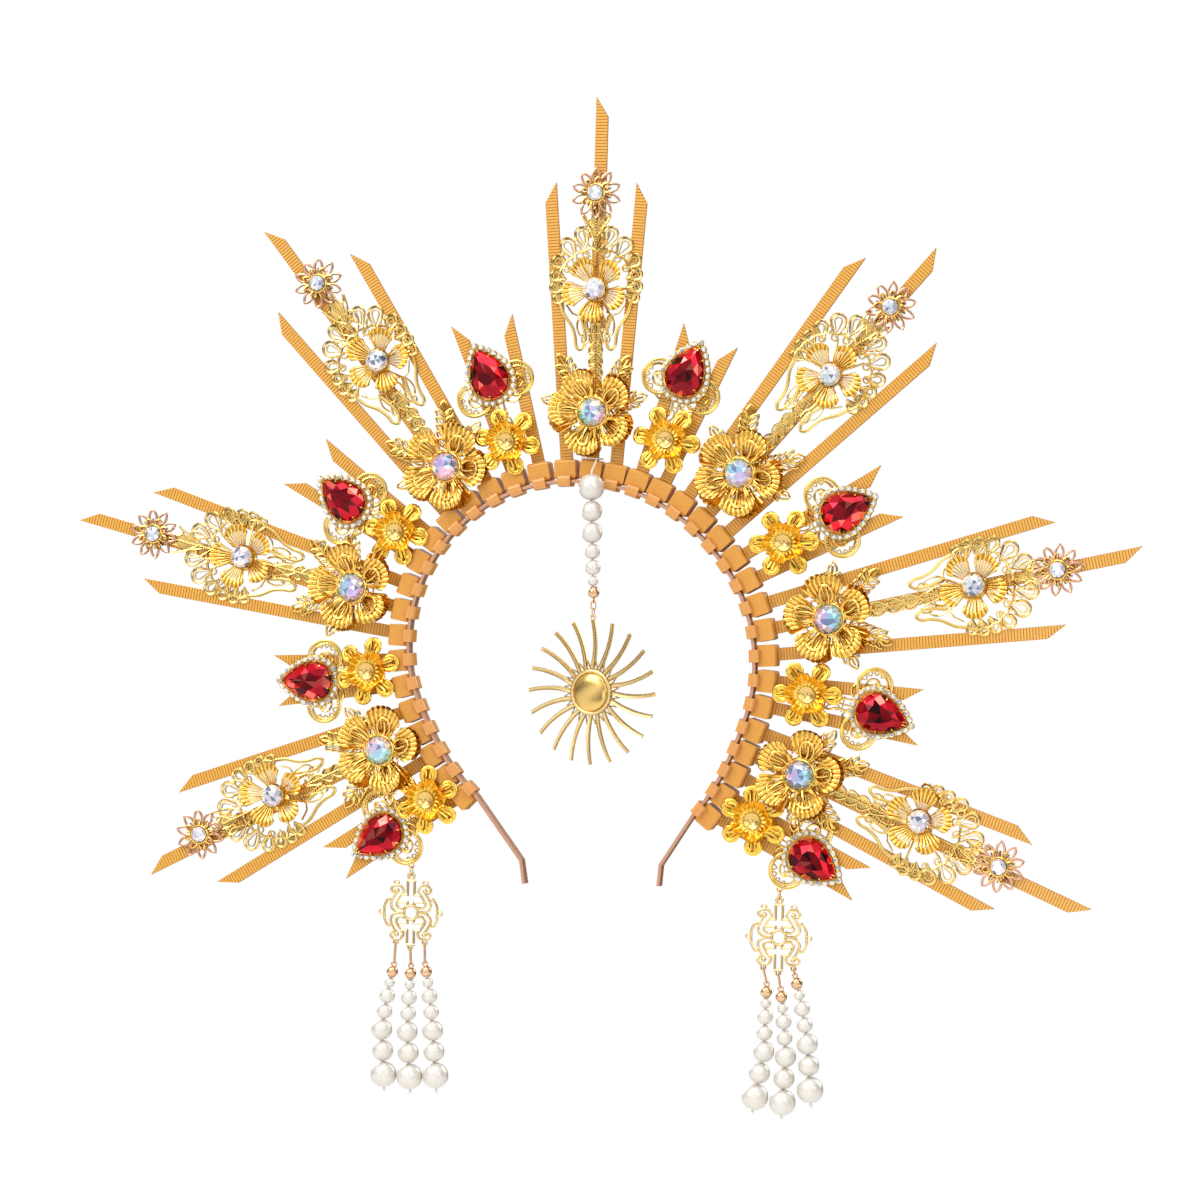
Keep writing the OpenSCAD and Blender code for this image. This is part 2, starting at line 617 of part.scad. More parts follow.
module connector(eye) {
    color("gold") place(conn_mid(eye), 0, hang_y) upright(conn_t / 2, conn_t) difference() {
        union() {
            circle(3.3);
            translate([0, conn_top]) circle(conn_eye);
            for (p = low_eyes) translate(p) circle(low_eye_r);
            for (x = [-1, 1]) {
                translate([x * 5.8, 11.4]) circle(1.1);
                translate([x * 11.6, 0]) circle(1.2);
                translate([x * 1.35, 0]) square([wire, 25.4], center = true);
                translate([0, x * 12.25]) square([3.6, wire], center = true);
            }
            for (x = [-1, 1], z = [-1, 1]) scale([x, z]) {
                for (one = [scroll_in, scroll_out, side_fan]) strand(smooth(one, 3), wire);
                translate([1.35, 6.8 - wire / 2]) square([2.4, wire]);
                translate([1.35, 4 - wire / 2]) square([3.6, wire]);
            }
        }
        circle(2.2);
        translate([0, conn_top]) circle(conn_hole);
        for (p = low_eyes) translate(p) circle(low_hole);
    }
}
// Way up the string at bead k
function string_way(row, k) = let (n = len(bead_widths))
    heading_of(string_bead(row, max(k - 1, 0)) - string_bead(row, min(k + 1, n)));
module string_threads(eye, strings) {
    n = len(bead_widths);
    color("white") place(conn_mid(eye), 0, hang_y) soldered() for (row = strings) {
        low = string_bead(row, n) - ray_at(bead_widths[n - 1] / 2 + 1, string_way(row, n));
        tube([for (p = [for (k = [0 : n]) string_bead(row, k), low]) [p.x, 0, p.y]],
            thread / 2, 6);
        translate([low.x, 0, low.y]) sphere(0.8, $fn = 8);
    }
}
module string_pearls(eye, strings) {
    color("white") place(conn_mid(eye), 0, hang_y) for (row = strings)
        for (k = [1 : len(bead_widths)]) let (p = string_bead(row, k))
            translate([p.x, 0, p.y]) rotate([0, string_way(row, k), 0])
                drilled_bead(bead_widths[k - 1], bore);
}
module string_findings(eye, strings) {
    color("gold") {
        place(pivot_of(eye) - [0, ring_drop], 0, hang_y)
            rotate([0, 90, 0]) wire_eye(ring_r, link_wire);
        place(conn_mid(eye), 0, hang_y) for (j = [0 : 2]) {
            tip = string_bead(strings[j], 0);
            up = string_way(strings[j], 0);
            top = low_eyes[j];
            low = tip + ray_at(tip_r + 2 * eye_r - loop_sink - eye_wire - link_wire - gap, up);
            translate([tip.x, 0, tip.y]) rotate([0, up, 0]) bead_tip(false, 0);
            translate([(top.x + low.x) / 2, 0, (top.y + low.y) / 2])
                rotate([0, heading_of(top - low), 0]) rotate([0, 0, 90])
                    oval_link(norm(top - low), link_half, link_wire);
        }
    }
}

headband();
middle_ties();
side_ties();
short_ties();
for (i = [0 : len(rays) - 1]) {
    ray_panel(rays[i]);
    rose(i);
}
ray_blossoms();
tip_stars();
rose_crystals();
blossom_crystals();
star_crystals();
for (i = [0 : len(pears) - 1]) {
    eye = i == 0 ? left_hang : i == len(pears) - 1 ? right_hang : [];
    pear_setting(pears[i], eye);
    red_stone(pears[i]);
    daisy(pears[i], daisy_turns[i]);
}
drop_thread();
drop_pearls();
drop_chain();
sun_pendant();
connector(left_hang);  // left_connector
string_threads(left_hang, left_strings);  // left_threads
string_pearls(left_hang, left_strings);  // left_pearls
string_findings(left_hang, left_strings);  // left_findings
connector(right_hang);  // right_connector
string_threads(right_hang, right_strings);  // right_threads
string_pearls(right_hang, right_strings);  // right_pearls
string_findings(right_hang, right_strings);  // right_findings
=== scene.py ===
import math
import bmesh
import bpy
import numpy as np
from mathutils import Matrix, Vector


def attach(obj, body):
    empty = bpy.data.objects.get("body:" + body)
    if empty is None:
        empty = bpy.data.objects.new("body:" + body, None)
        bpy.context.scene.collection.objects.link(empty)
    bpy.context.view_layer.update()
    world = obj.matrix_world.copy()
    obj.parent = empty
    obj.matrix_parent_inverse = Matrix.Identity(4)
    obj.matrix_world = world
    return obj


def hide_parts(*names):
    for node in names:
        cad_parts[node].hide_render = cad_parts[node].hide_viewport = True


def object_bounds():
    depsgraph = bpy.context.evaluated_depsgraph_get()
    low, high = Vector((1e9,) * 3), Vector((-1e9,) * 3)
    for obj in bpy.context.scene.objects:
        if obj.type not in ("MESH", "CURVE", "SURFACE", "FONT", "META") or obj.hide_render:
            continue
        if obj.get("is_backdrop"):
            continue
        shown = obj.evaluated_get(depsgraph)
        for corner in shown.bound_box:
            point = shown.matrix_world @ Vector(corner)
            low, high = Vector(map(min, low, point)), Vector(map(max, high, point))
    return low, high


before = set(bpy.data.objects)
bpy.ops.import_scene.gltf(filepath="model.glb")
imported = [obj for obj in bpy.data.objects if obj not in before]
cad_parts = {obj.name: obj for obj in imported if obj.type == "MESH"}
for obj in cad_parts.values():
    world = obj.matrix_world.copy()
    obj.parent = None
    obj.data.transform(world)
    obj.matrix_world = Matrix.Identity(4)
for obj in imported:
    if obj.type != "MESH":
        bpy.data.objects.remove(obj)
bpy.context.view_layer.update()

print("frame loaded:", len(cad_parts), "pieces")

# Shapes are drawn flat in millimetres: across, out, front. A heading is
# clockwise from straight up, and places are about the ring's centre.
mm = 0.001
ringDrop = 65.7          # the ring's centre, below the head seat
panelBack = -0.15        # back of what lies on the straps
flowerBack = -1.1        # back of what lies on a panel

# rose: away, heading; ray's heading; blossom and star, out from the rose;
# turn of the rose; blossom's turn, across, further out
rayPlaces = [
    (89.5, -114, -115.5, 46.5, 81, -15, 30, 1.6, 0.6),
    (97.5, -74.5, -76.5, 46, 84.5, -6, -10, 0.4, 0.6),
    (92.7, -38, -37, 48.5, 88.5, -10, -26, 1.8, 1.2),
    (94.3, 0.5, -0.5, 47, 83.5, -17, -30, 0, 0),
    (92, 39, 42, 50.5, 84.5, -13, 0, 0.3, 0),
    (95, 79.5, 77, 55, 87.5, -14, 25, -1, 0.9),
    (93, 116.5, 113, 49, 82, -19, -28, -3, -0.9)]
# daisy: away, heading; stone: out, heading; heading of its point; daisy's turn
pearPlaces = [
    (83, -131.5, 25, -127, -126, 16),
    (87, -94, 25.5, -100, -90, -15),
    (90, -58, 26.2, -60.5, -51, -22),
    (89, -21.5, 27.6, -19, -27, 0),
    (89, 19.5, 27.3, 15.5, 25, 20),
    (88.5, 59, 26.6, 61.5, 64, 28),
    (86.5, 97.5, 29, 104, 109, -6),
    (88.5, 132, 27.5, 122.5, 125, -13)]


def towards(away, heading):
    return away * np.array([math.sin(math.radians(heading)), math.cos(math.radians(heading))])


rays = []
for away, heading, ray, panel, star, roseTurn, blossomTurn, across, further in rayPlaces:
    rose = towards(away, heading)
    rays.append({"rose": rose, "heading": ray, "drop": panel, "rise": star - panel, "roseTurn": roseTurn,
                 "blossomTurn": ray + blossomTurn, "panel": rose + towards(panel, ray),
                 "blossom": rose + towards(panel + further, ray) + towards(across, ray + 90),
                 "star": rose + towards(star, ray)})
pears = []
for away, heading, out, neck, point, turn in pearPlaces:
    daisy = towards(away, heading)
    pears.append({"daisy": daisy, "stone": daisy + towards(out, neck), "out": out, "neck": neck, "point": point,
                  "turn": turn, "heading": heading + turn})


# Shape helpers: a shape is its points and its faces

def joined(shapes):
    points, faces, start = [], [], 0
    for shapePoints, shapeFaces in shapes:
        points.append(shapePoints)
        faces.extend([tuple(i + start for i in face) for face in shapeFaces])
        start += len(shapePoints)
    return np.vstack(points), faces


def shifted(shape, across=0.0, out=0.0, front=0.0):
    return shape[0] + np.array([across, out, front]), shape[1]


def spun(line, heading, first=0, second=1):
    # points turned to a heading, or in the plane of two other axes
    a = math.radians(heading)
    line = np.array(line, float)
    one, other = line[:, first].copy(), line[:, second].copy()
    line[:, first] = one * math.cos(a) + other * math.sin(a)
    line[:, second] = other * math.cos(a) - one * math.sin(a)
    return line


def turned(shape, heading):
    return spun(shape[0], heading), shape[1]


def leaned(shape, angle):
    # the outer end comes forward
    return spun(shape[0], angle, 2, 1), shape[1]


def rolled(shape, angle):
    # turned about its own out axis
    return spun(shape[0], angle, 0, 2), shape[1]


def standing(shape, order=(2, 1, 0)):
    # a flat shape stood edge on, or on its face
    return shape[0][:, list(order)] * (1, 1, -1), shape[1]


def placed(shape, spot, heading=0.0, back=0.0, yaw=0.0):
    # from the flat drawing to the crown, in metres
    across, out, front = spun(shape[0], heading).T
    a = math.radians(yaw)
    x = spot[0] + across * math.cos(a) - front * math.sin(a)
    y = back - front * math.cos(a) - across * math.sin(a)
    return np.column_stack([x, y, spot[1] + out - ringDrop]) * mm, shape[1]


def lifted(line, front):
    return np.column_stack([line, np.full(len(line), front)])


def circle(radius, steps=24, across=0.0, out=0.0):
    return [(across + radius * math.sin(a), out + radius * math.cos(a))
            for a in np.arange(steps) * 2 * np.pi / steps]


def curved(points, steps=4, closed=False):
    # smooth line through a few points
    points = np.asarray(points, float)
    if closed:
        padded = np.vstack([points[-1:], points, points[:2]])
    else:
        padded = np.vstack([2 * points[:1] - points[1:2], points, 2 * points[-1:] - points[-2:-1]])
    line = []
    for k in range(len(padded) - 3):
        a, b, c, d = padded[k:k + 4]
        for t in np.arange(steps) / steps:
            line.append((2 * b + (c - a) * t + (2 * a - 5 * b + 4 * c - d) * t ** 2
                         + (3 * b - a - 3 * c + d) * t ** 3) / 2)
    if not closed:
        line.append(points[-1])
    return np.array(line)


def wire(line, half, rise=None, sides=6, closed=False, front=0.0, twist=0.0):
    # a wire along a line: half its width, half its height, and the turn per step if it's twisted
    line = np.asarray(line, float)
    line = lifted(line, front) if line.shape[1] == 2 else line + (0, 0, front)
    ahead, behind = np.roll(line, -1, 0), np.roll(line, 1, 0)
    if not closed:
        ahead[-1], behind[0] = line[-1], line[0]
    along = (ahead - behind) / np.linalg.norm(ahead - behind, axis=1, keepdims=True)
    side = np.cross(along, (0.0, 1e-4, 1.0))
    side /= np.linalg.norm(side, axis=1, keepdims=True)
    up = np.cross(side, along)
    count = len(line)
    angle = (2 * np.pi * (np.arange(sides) + 0.5) / sides)[None, :]
    angle = angle + np.radians(twist * np.arange(count))[:, None]
    half = np.broadcast_to(np.asarray(half, float), (count,))[:, None]
    rise = half if rise is None else np.broadcast_to(np.asarray(rise, float), (count,))[:, None]
    points = (line[:, None] + (half * np.cos(angle))[..., None] * side[:, None]
              + (rise * np.sin(angle))[..., None] * up[:, None]).reshape(-1, 3)
    faces = []
    for k in range(count if closed else count - 1):
        a, b = k * sides, (k + 1) % count * sides
        faces += [(a + j, b + j, b + (j + 1) % sides, a + (j + 1) % sides) for j in range(sides)]
    if not closed:
        faces += [tuple(range(sides)), tuple(range(count * sides - 1, (count - 1) * sides - 1, -1))]
    return points, faces


def ringWire(radius, half, rise=None, sides=6, steps=24, front=0.0, across=0.0, out=0.0):
    return wire(circle(radius, steps, across, out), half, rise, sides, True, front)


def tearLine(start, reach, radius, steps=10):
    # a loop from a point at start to a round end at reach
    middle = reach - radius
    lean = math.asin(min(0.95, radius / (middle - start)))
    angles = np.linspace(-math.pi / 2 - lean, math.pi / 2 + lean, steps + 1)
    return np.array([(0, start), *[(radius * math.sin(a), middle + radius * math.cos(a)) for a in angles]])


def leafLine(start, reach, half, steps=8, point=0.8):
    t = np.arange(steps + 1) / steps
    edge = list(zip(half * np.sin(np.pi * t) ** point, start + (reach - start) * t))
    return np.array([*edge, *[(-across, out) for across, out in edge[-2:0:-1]]])


def shell(front, back, cut=None):
    # a thin wall between two grids of points, with open places where cut says so
    rows, columns = front.shape[:2]
    size = rows * columns
    quads = [(r * columns + c, r * columns + c + 1, (r + 1) * columns + c + 1, (r + 1) * columns + c)
             for r in range(rows - 1) for c in range(columns - 1) if cut is None or not cut(r, c)]
    rims = {}
    for quad in quads:
        for a, b in zip(quad, quad[1:] + quad[:1]):
            if (b, a) in rims:
                del rims[(b, a)]
            else:
                rims[(a, b)] = True
    faces = quads + [tuple(i + size for i in reversed(quad)) for quad in quads]
    faces += [(b, a, a + size, b + size) for a, b in rims]
    used = sorted({i for face in faces for i in face})
    number = {old: new for new, old in enumerate(used)}
    points = np.vstack([front.reshape(-1, 3), back.reshape(-1, 3)])[used]
    return points, [tuple(number[i] for i in face) for face in faces]


def ringed(rings):
    # a skin over rings of points, from the middle of the front round to the back; the middle is one point
    count = max(len(ring) for ring in rings)
    points, rows, faces = [], [], []
    for ring in rings:
        start = len(points)
        points.extend(ring)
        rows.append([start] * count if len(ring) == 1 else list(range(start, start + count)))
    for low, high in zip(rows, rows[1:]):
        for c in range(count):
            d = (c + 1) % count
            face = tuple(dict.fromkeys((low[c], low[d], high[d], high[c])))
            if len(face) > 2:
                faces.append(face)
    return np.array(points, float), faces


def domed(outline, profile, centre=(0.0, 0.0)):
    # a clockwise outline drawn in by each (share, front) of the profile
    centre = np.array(centre, float)
    outline = np.asarray(outline, float) - centre
    return ringed([[(*p, front) for p in (centre + outline * share if share else [centre])]
                   for share, front in profile])


def lathed(profile, steps=24, wave=None):
    # a profile of (radius, front) turned round the front axis; wave may alter a point
    rings = []
    for k, (radius, front) in enumerate(profile):
        ring = []
        for a in np.arange(steps if radius else 1) * 2 * np.pi / steps:
            r, f = wave(k, a, radius, front) if wave and radius else (radius, front)
            ring.append((r * math.sin(a), r * math.cos(a), f))
        rings.append(ring)
    return ringed(rings)


def cutStone(outline, height, mains):
    # brilliant cut on a closed outline(t), t from 0 to 1: table, stars, kites and girdle facets
    def level(count, share, front, offset=0.0):
        return [(*(np.array(outline((k + offset) / count % 1)) * share), front * height) for k in range(count)]
    points = [*level(mains, 0.5, 1.0), *level(mains, 0.77, 0.77, 0.5), *level(2 * mains, 1.0, 0.38),
              *level(2 * mains, 1.0, 0.3), *level(2 * mains, 0.8, 0.0), (0, 0, height), (0, 0, 0)]
    kite, girdle, low, foot, top, bottom = (mains * n for n in (1, 2, 4, 6, 8, 8))
    bottom += 1
    faces = []
    for k in range(mains):
        n = (k + 1) % mains
        g, h, e = girdle + 2 * k, girdle + 2 * k + 1, girdle + 2 * n
        faces += [(top, k, n), (k, kite + k, n), (k, kite + (k - 1) % mains, g, kite + k)]
        faces += [(kite + k, g, h), (kite + k, h, e)]
    for k in range(2 * mains):
        n = (k + 1) % (2 * mains)
        faces += [(girdle + k, low + k, low + n, girdle + n), (low + k, foot + k, foot + n, low + n)]
        faces += [(bottom, foot + n, foot + k)]
    return np.array(points, float), [face[::-1] for face in faces]


def fanPetal(reach, root, spread, heights, pleats, depth, thick, rows, perPleat=4, slotRows=(0, 0),
             curl=0.0, rim=0.4, roundness=0.16):
    # a pleated petal that opens like a fan, its rim scalloped, with slots along the creases of slotRows
    across = np.linspace(-1, 1, pleats * perPleat + 1)[None, :]
    along = np.linspace(0, 1, rows)[:, None]
    wave = np.abs(np.sin(np.pi * pleats * (across + 1) / 2)) ** 0.8
    tip = reach * (1 - roundness * np.abs(across) ** 2.6) + rim * (wave - 1)
    radius = root + (tip - root) * along
    heading = np.radians(spread) * across * (0.84 + 0.16 * along)
    front = (np.interp(along, np.linspace(0, 1, len(heights)), heights)
             + depth * (wave - 0.6) * (0.35 + 0.65 * along) + curl * across ** 2 * along)
    grid = np.stack([radius * np.sin(heading), radius * np.cos(heading), front], axis=-1)

    def slot(row, column):
        inside = slotRows[0] <= row < slotRows[1]
        return inside and column % perPleat in (0, perPleat - 1) and 0 < column < pleats * perPleat - 1
    return shell(grid, grid - np.array([0, 0, thick]), slot)


# Node helpers

def feed(tree, made, inputs):
    # a socket is linked, a plain value is set
    for label, value in inputs.items():
        if isinstance(value, bpy.types.NodeSocket):
            tree.links.new(value, made.inputs[label])
        else:
            made.inputs[label].default_value = value


def node(tree, kind, place, inputs=None, **settings):
    made = tree.nodes.new(kind)
    made.location = (place * 200, 0)
    for key, value in settings.items():
        setattr(made, key, value)
    feed(tree, made, inputs or {})
    return made.outputs


def ranged(tree, place, value, fromMin, fromMax, toMin, toMax):
    return node(tree, "ShaderNodeMapRange", place, {"Value": value, "From Min": fromMin, "From Max": fromMax,
                                                    "To Min": toMin, "To Max": toMax})["Result"]


def blended(tree, place, factor, first, second):
    mix = {"Factor": factor, "A": first, "B": second}
    return node(tree, "ShaderNodeMix", place, mix, data_type="RGBA")["Result"]


def makeGroup(name, kind, inputs, outputs):
    # an input has a value, or only its kind of socket
    kinds = {float: "NodeSocketFloat", int: "NodeSocketInt", tuple: "NodeSocketColor"}
    group = bpy.data.node_groups.new(name, kind)
    for label, value in inputs.items():
        bare = isinstance(value, str)
        socket = value if bare else kinds[type(value)]
        made = group.interface.new_socket(label, in_out="INPUT", socket_type=socket)
        if not bare:
            made.default_value = value
    for label, socket in outputs.items():
        group.interface.new_socket(label, in_out="OUTPUT", socket_type=socket)
    return group


# Metals, plastics and stones

def makeToneAndSideShade():
    # shared surface: colour between two tints, painted shade where it turns from
    # the front, roughness and fine relief
    group = makeGroup("tone and painted side shade", "ShaderNodeTree",
                      {"Light": (1, 1, 1, 1), "Deep": (0, 0, 0, 1), "Side": (0, 0, 0, 1), "Grain": 400.0,
                       "Smoothest": 0.15, "Roughest": 0.3, "Relief": 0.1},
                      {"Color": "NodeSocketColor", "Roughness": "NodeSocketFloat",
                       "Normal": "NodeSocketVector"})
    start = node(group, "NodeGroupInput", -4)
    place = node(group, "ShaderNodeTexCoord", -4)
    noise = node(group, "ShaderNodeTexNoise", -3, {"Vector": place["Object"], "Scale": start["Grain"]})["Fac"]
    split = node(group, "ShaderNodeSeparateXYZ", -3, {0: place["Normal"]})
    facing = node(group, "ShaderNodeMath", -2, {0: split["Y"]}, operation="ABSOLUTE")[0]
    tint = blended(group, -1, noise, start["Light"], start["Deep"])
    # painted shade mask: full where the surface turns from the front
    sideShadeMask = ranged(group, -1, facing, 0.08, 0.72, 1.0, 0.0)
    rough = node(group, "ShaderNodeMapRange", -1,
                 {"Value": noise, "To Min": start["Smoothest"], "To Max": start["Roughest"]})
    bump = node(group, "ShaderNodeBump", -1, {"Distance": 0.0002, "Strength": start["Relief"], "Height": noise})
    node(group, "NodeGroupOutput", 1, {"Color": blended(group, 0, sideShadeMask, tint, start["Side"]),
                                       "Roughness": rough["Result"], "Normal": bump["Normal"]})
    return group


toneAndSideShade = makeToneAndSideShade()


def newMaterial(name, metallic, coat, coatRoughness):
    material = bpy.data.materials.new(name)
    material.use_nodes = True
    tree = material.node_tree
    shader = tree.nodes["Principled BSDF"]
    feed(tree, shader, {"Metallic": metallic, "Coat Weight": coat, "Coat Roughness": coatRoughness})
    return material, tree, shader


def makeFinish(name, light, deep, side, smoothest, roughest, metallic=1.0, grain=500.0, relief=0.0, coat=0.0):
    # side: painted shade colour of what turns from the front
    material, tree, shader = newMaterial(name, metallic, coat, 0.08)
    surface = node(tree, "ShaderNodeGroup", -2,
                   {"Light": (*light, 1), "Deep": (*deep, 1), "Side": (*(side or deep), 1), "Grain": grain,
                    "Smoothest": smoothest, "Roughest": roughest, "Relief": relief}, node_tree=toneAndSideShade)
    feed(tree, shader, {"Base Color": surface["Color"], "Roughness": surface["Roughness"],
                        "Normal": surface["Normal"]})
    return material


def opened(material):
    # a finish's tree, its shader and its surface's colour
    tree = material.node_tree
    surface = next(item for item in tree.nodes if item.type == "GROUP")
    return tree, tree.nodes["Principled BSDF"], surface.outputs["Color"]


def makeFacets(name, metallic, roughness, coat):
    # every facet takes its own colour from the stone's "facet" attribute
    material, tree, shader = newMaterial(name, metallic, coat, 0.03)
    facet = node(tree, "ShaderNodeAttribute", -2, attribute_name="facet")
    feed(tree, shader, {"Base Color": facet["Color"], "Roughness": roughness})
    return material


# the third colour of each finish is painted shade for what turns from the front
gold = makeFinish("polished gold", (0.98, 0.71, 0.22), (0.92, 0.55, 0.1), (0.42, 0.23, 0.035), 0.12, 0.22)
brightGold = makeFinish("bright yellow gold", (1.0, 0.7, 0.14), (0.95, 0.52, 0.05), (0.5, 0.25, 0.02),
                        0.14, 0.26)
paleGold = makeFinish("pale gold wire", (0.95, 0.7, 0.26), (0.86, 0.55, 0.14), (0.4, 0.23, 0.045), 0.14, 0.24)
brass = makeFinish("brass", (0.92, 0.7, 0.34), (0.82, 0.57, 0.22), (0.3, 0.19, 0.055), 0.16, 0.26)
satinGold = makeFinish("satin gold", (0.84, 0.58, 0.2), (0.74, 0.48, 0.14), (0.4, 0.24, 0.06), 0.17, 0.25,
                       grain=2500, relief=0.1)
copper = makeFinish("copper gold", (0.8, 0.46, 0.3), (0.62, 0.32, 0.19), (0.34, 0.15, 0.08), 0.14, 0.26)
roseGold = makeFinish("rose gold links", (0.88, 0.6, 0.36), (0.76, 0.46, 0.25), (0.4, 0.2, 0.09), 0.12, 0.24)
# the grains are darker than the rays' brass: painted shade along one flank of each ray
grainBrass = makeFinish("brass grains", (0.55, 0.39, 0.17), (0.4, 0.28, 0.1), (0.2, 0.13, 0.04), 0.18, 0.28)
roseMetal = makeFinish("rose gold band", (0.78, 0.44, 0.28), (0.66, 0.34, 0.2), None,
                       0.2, 0.32, 0.6, 300, 0.05)
# the ribs take a lighter tone than the strap paint: painted highlight on their tops
litRibPaint = makeFinish("strap ribs", (0.8, 0.42, 0.062), (0.74, 0.37, 0.05), None, 0.3, 0.4, 0.1, 250, 0.05, 0.3)
strapPaint = makeFinish("strap paint", (0.73, 0.34, 0.047), (0.67, 0.295, 0.036), None,
                        0.26, 0.36, 0.1, 250, 0.05)
pearl = makeFinish("pearl", (0.79, 0.75, 0.69), (0.76, 0.71, 0.64), None, 0.34, 0.36, 0.3, 100, 0.0, 0.5)
threadWhite = makeFinish("white thread", (0.88, 0.88, 0.86), (0.75, 0.75, 0.72), None,
                         0.6, 0.8, 0.0, 4000, 0.3)
crystalGlass = makeFacets("iridescent crystal", 0.5, 0.04, 0.4)
redGlass = makeFacets("red crystal", 0.75, 0.05, 0.12)


def shadePearl():
    # painted rim shade: pearls turn warmer and darker towards their edge as seen
    tree, shader, colour = opened(pearl)
    edge = node(tree, "ShaderNodeLayerWeight", -3, {"Blend": 0.42})["Facing"]
    rim = blended(tree, -1, edge, colour, (0.62, 0.56, 0.48, 1))
    feed(tree, shader, {"Base Color": rim, "Coat Roughness": 0.14})


def shadeStraps():
    # painted shade: the strap between the ribs is darker; heads and loops stand
    # out of the straps' plane, and the loops, furthest out, are glossier and more coppery
    tree, shader, colour = opened(strapPaint)
    place = node(tree, "ShaderNodeTexCoord", -6)
    depth = node(tree, "ShaderNodeSeparateXYZ", -5, {0: place["Object"]})["Y"]
    paintedGrooveShade = ranged(tree, -4, depth, -0.0004, -0.0001, 0.0, 1.0)
    loop = ranged(tree, -4, depth, -0.0044, -0.0054, 0.15, 0.6)
    tint = blended(tree, -1, paintedGrooveShade, colour, (0.52, 0.22, 0.028, 1))
    feed(tree, shader, {"Coat Weight": loop, "Base Color": blended(tree, 0, loop, tint, (0.7, 0.3, 0.09, 1))})


shadePearl()
shadeStraps()
print("materials made")


# Pieces

def makeObject(name, shape, material, smooth=True):
    points, faces = shape
    mesh = bpy.data.meshes.new(name)
    mesh.from_pydata(np.asarray(points).tolist(), [], [tuple(int(i) for i in face) for face in faces])
    mesh.polygons.foreach_set("use_smooth", [smooth] * len(mesh.polygons))
    mesh.materials.append(material)
    mesh.update()
    made = bpy.data.objects.new(name, mesh)
    bpy.context.scene.collection.objects.link(made)
    return made


def makePiece(name, shape, material, *nodes, body="crown", slot="gold", smooth=True):
    made = makeObject(name, shape, material, smooth)
    if smooth:
        # edges over 50 degrees stay sharp
        work = bmesh.new()
        work.from_mesh(made.data)
        for edge in work.edges:
            edge.smooth = len(edge.link_faces) != 2 or edge.calc_face_angle(0) < math.radians(50)
        work.to_mesh(made.data)
        work.free()
    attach(made, body)
    if nodes:
        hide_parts(*nodes)
    return made


def paint(material, *names):
    # a piece kept from the frame, with a surface of its own
    for name in names:
        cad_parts[name].data.materials.clear()
        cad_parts[name].data.materials.append(material)


def colourFacets(made, colours):
    layer = made.data.color_attributes.new("facet", "FLOAT_COLOR", "CORNER")
    for face, colour in zip(made.data.polygons, colours):
        for corner in face.loop_indices:
            layer.data[corner].color = (*colour, 1.0)


# Geometry Nodes: what repeats or follows a path

def growthTree(name, inputs, build):
    tree = makeGroup(name, "GeometryNodeTree",
                     {"Geometry": "NodeSocketGeometry", **inputs, "Material": "NodeSocketMaterial"},
                     {"Geometry": "NodeSocketGeometry"})
    start = node(tree, "NodeGroupInput", -6)
    grown = node(tree, "GeometryNodeInstanceOnPoints", 0, build(tree, start))
    real = node(tree, "GeometryNodeRealizeInstances", 3, {0: grown[0]})
    coat = node(tree, "GeometryNodeSetMaterial", 4, {"Geometry": real[0], "Material": start["Material"]})
    node(tree, "NodeGroupOutput", 5, {0: coat[0]})
    return tree


def named(tree, label):
    return node(tree, "GeometryNodeInputNamedAttribute", -4, {"Name": label}, data_type="FLOAT_VECTOR")[0]


def buildRibs(tree, start):
    # a bar on every point, turned to its strap and as wide as the strap there
    size = node(tree, "ShaderNodeCombineXYZ", -5, {"X": 1.0, "Y": start["Rib Height"], "Z": start["Rib Width"]})
    bar = node(tree, "GeometryNodeMeshCube", -4, {"Size": size[0]})
    return {"Points": start["Geometry"], "Instance": bar["Mesh"], "Rotation": named(tree, "turn"),
            "Scale": named(tree, "spread")}


def buildBeads(tree, start):
    # round grains along every line
    line = node(tree, "GeometryNodeMeshToCurve", -4, {"Mesh": start["Geometry"]})
    even = node(tree, "GeometryNodeResampleCurve", -3, {"Curve": line[0], "Length": start["Pitch"]},
                mode="LENGTH")
    grain = node(tree, "GeometryNodeMeshIcoSphere", -3, {"Subdivisions": 1, "Radius": start["Grain Radius"]})
    soft = node(tree, "GeometryNodeSetShadeSmooth", -2, {"Geometry": grain["Mesh"]})
    return {"Points": even[0], "Instance": soft[0]}


def buildStuds(tree, start):
    # small cut stones or cups, their tables to the front
    stud = node(tree, "GeometryNodeMeshCone", -3,
                {label: start[label] for label in ("Vertices", "Radius Top", "Radius Bottom", "Depth")})
    flat = node(tree, "GeometryNodeSetShadeSmooth", -2, {"Geometry": stud["Mesh"], "Shade Smooth": False})
    return {"Points": start["Geometry"], "Instance": flat[0], "Rotation": named(tree, "turn")}


ribTree = growthTree("strap ribs", {"Rib Height": 0.0003, "Rib Width": 0.0006}, buildRibs)
beadTree = growthTree("bead rows", {"Pitch": 0.001, "Grain Radius": 0.0004}, buildBeads)
studTree = growthTree("studs", {"Vertices": 8, "Radius Top": 0.0006, "Radius Bottom": 0.001, "Depth": 0.0008},
                      buildStuds)


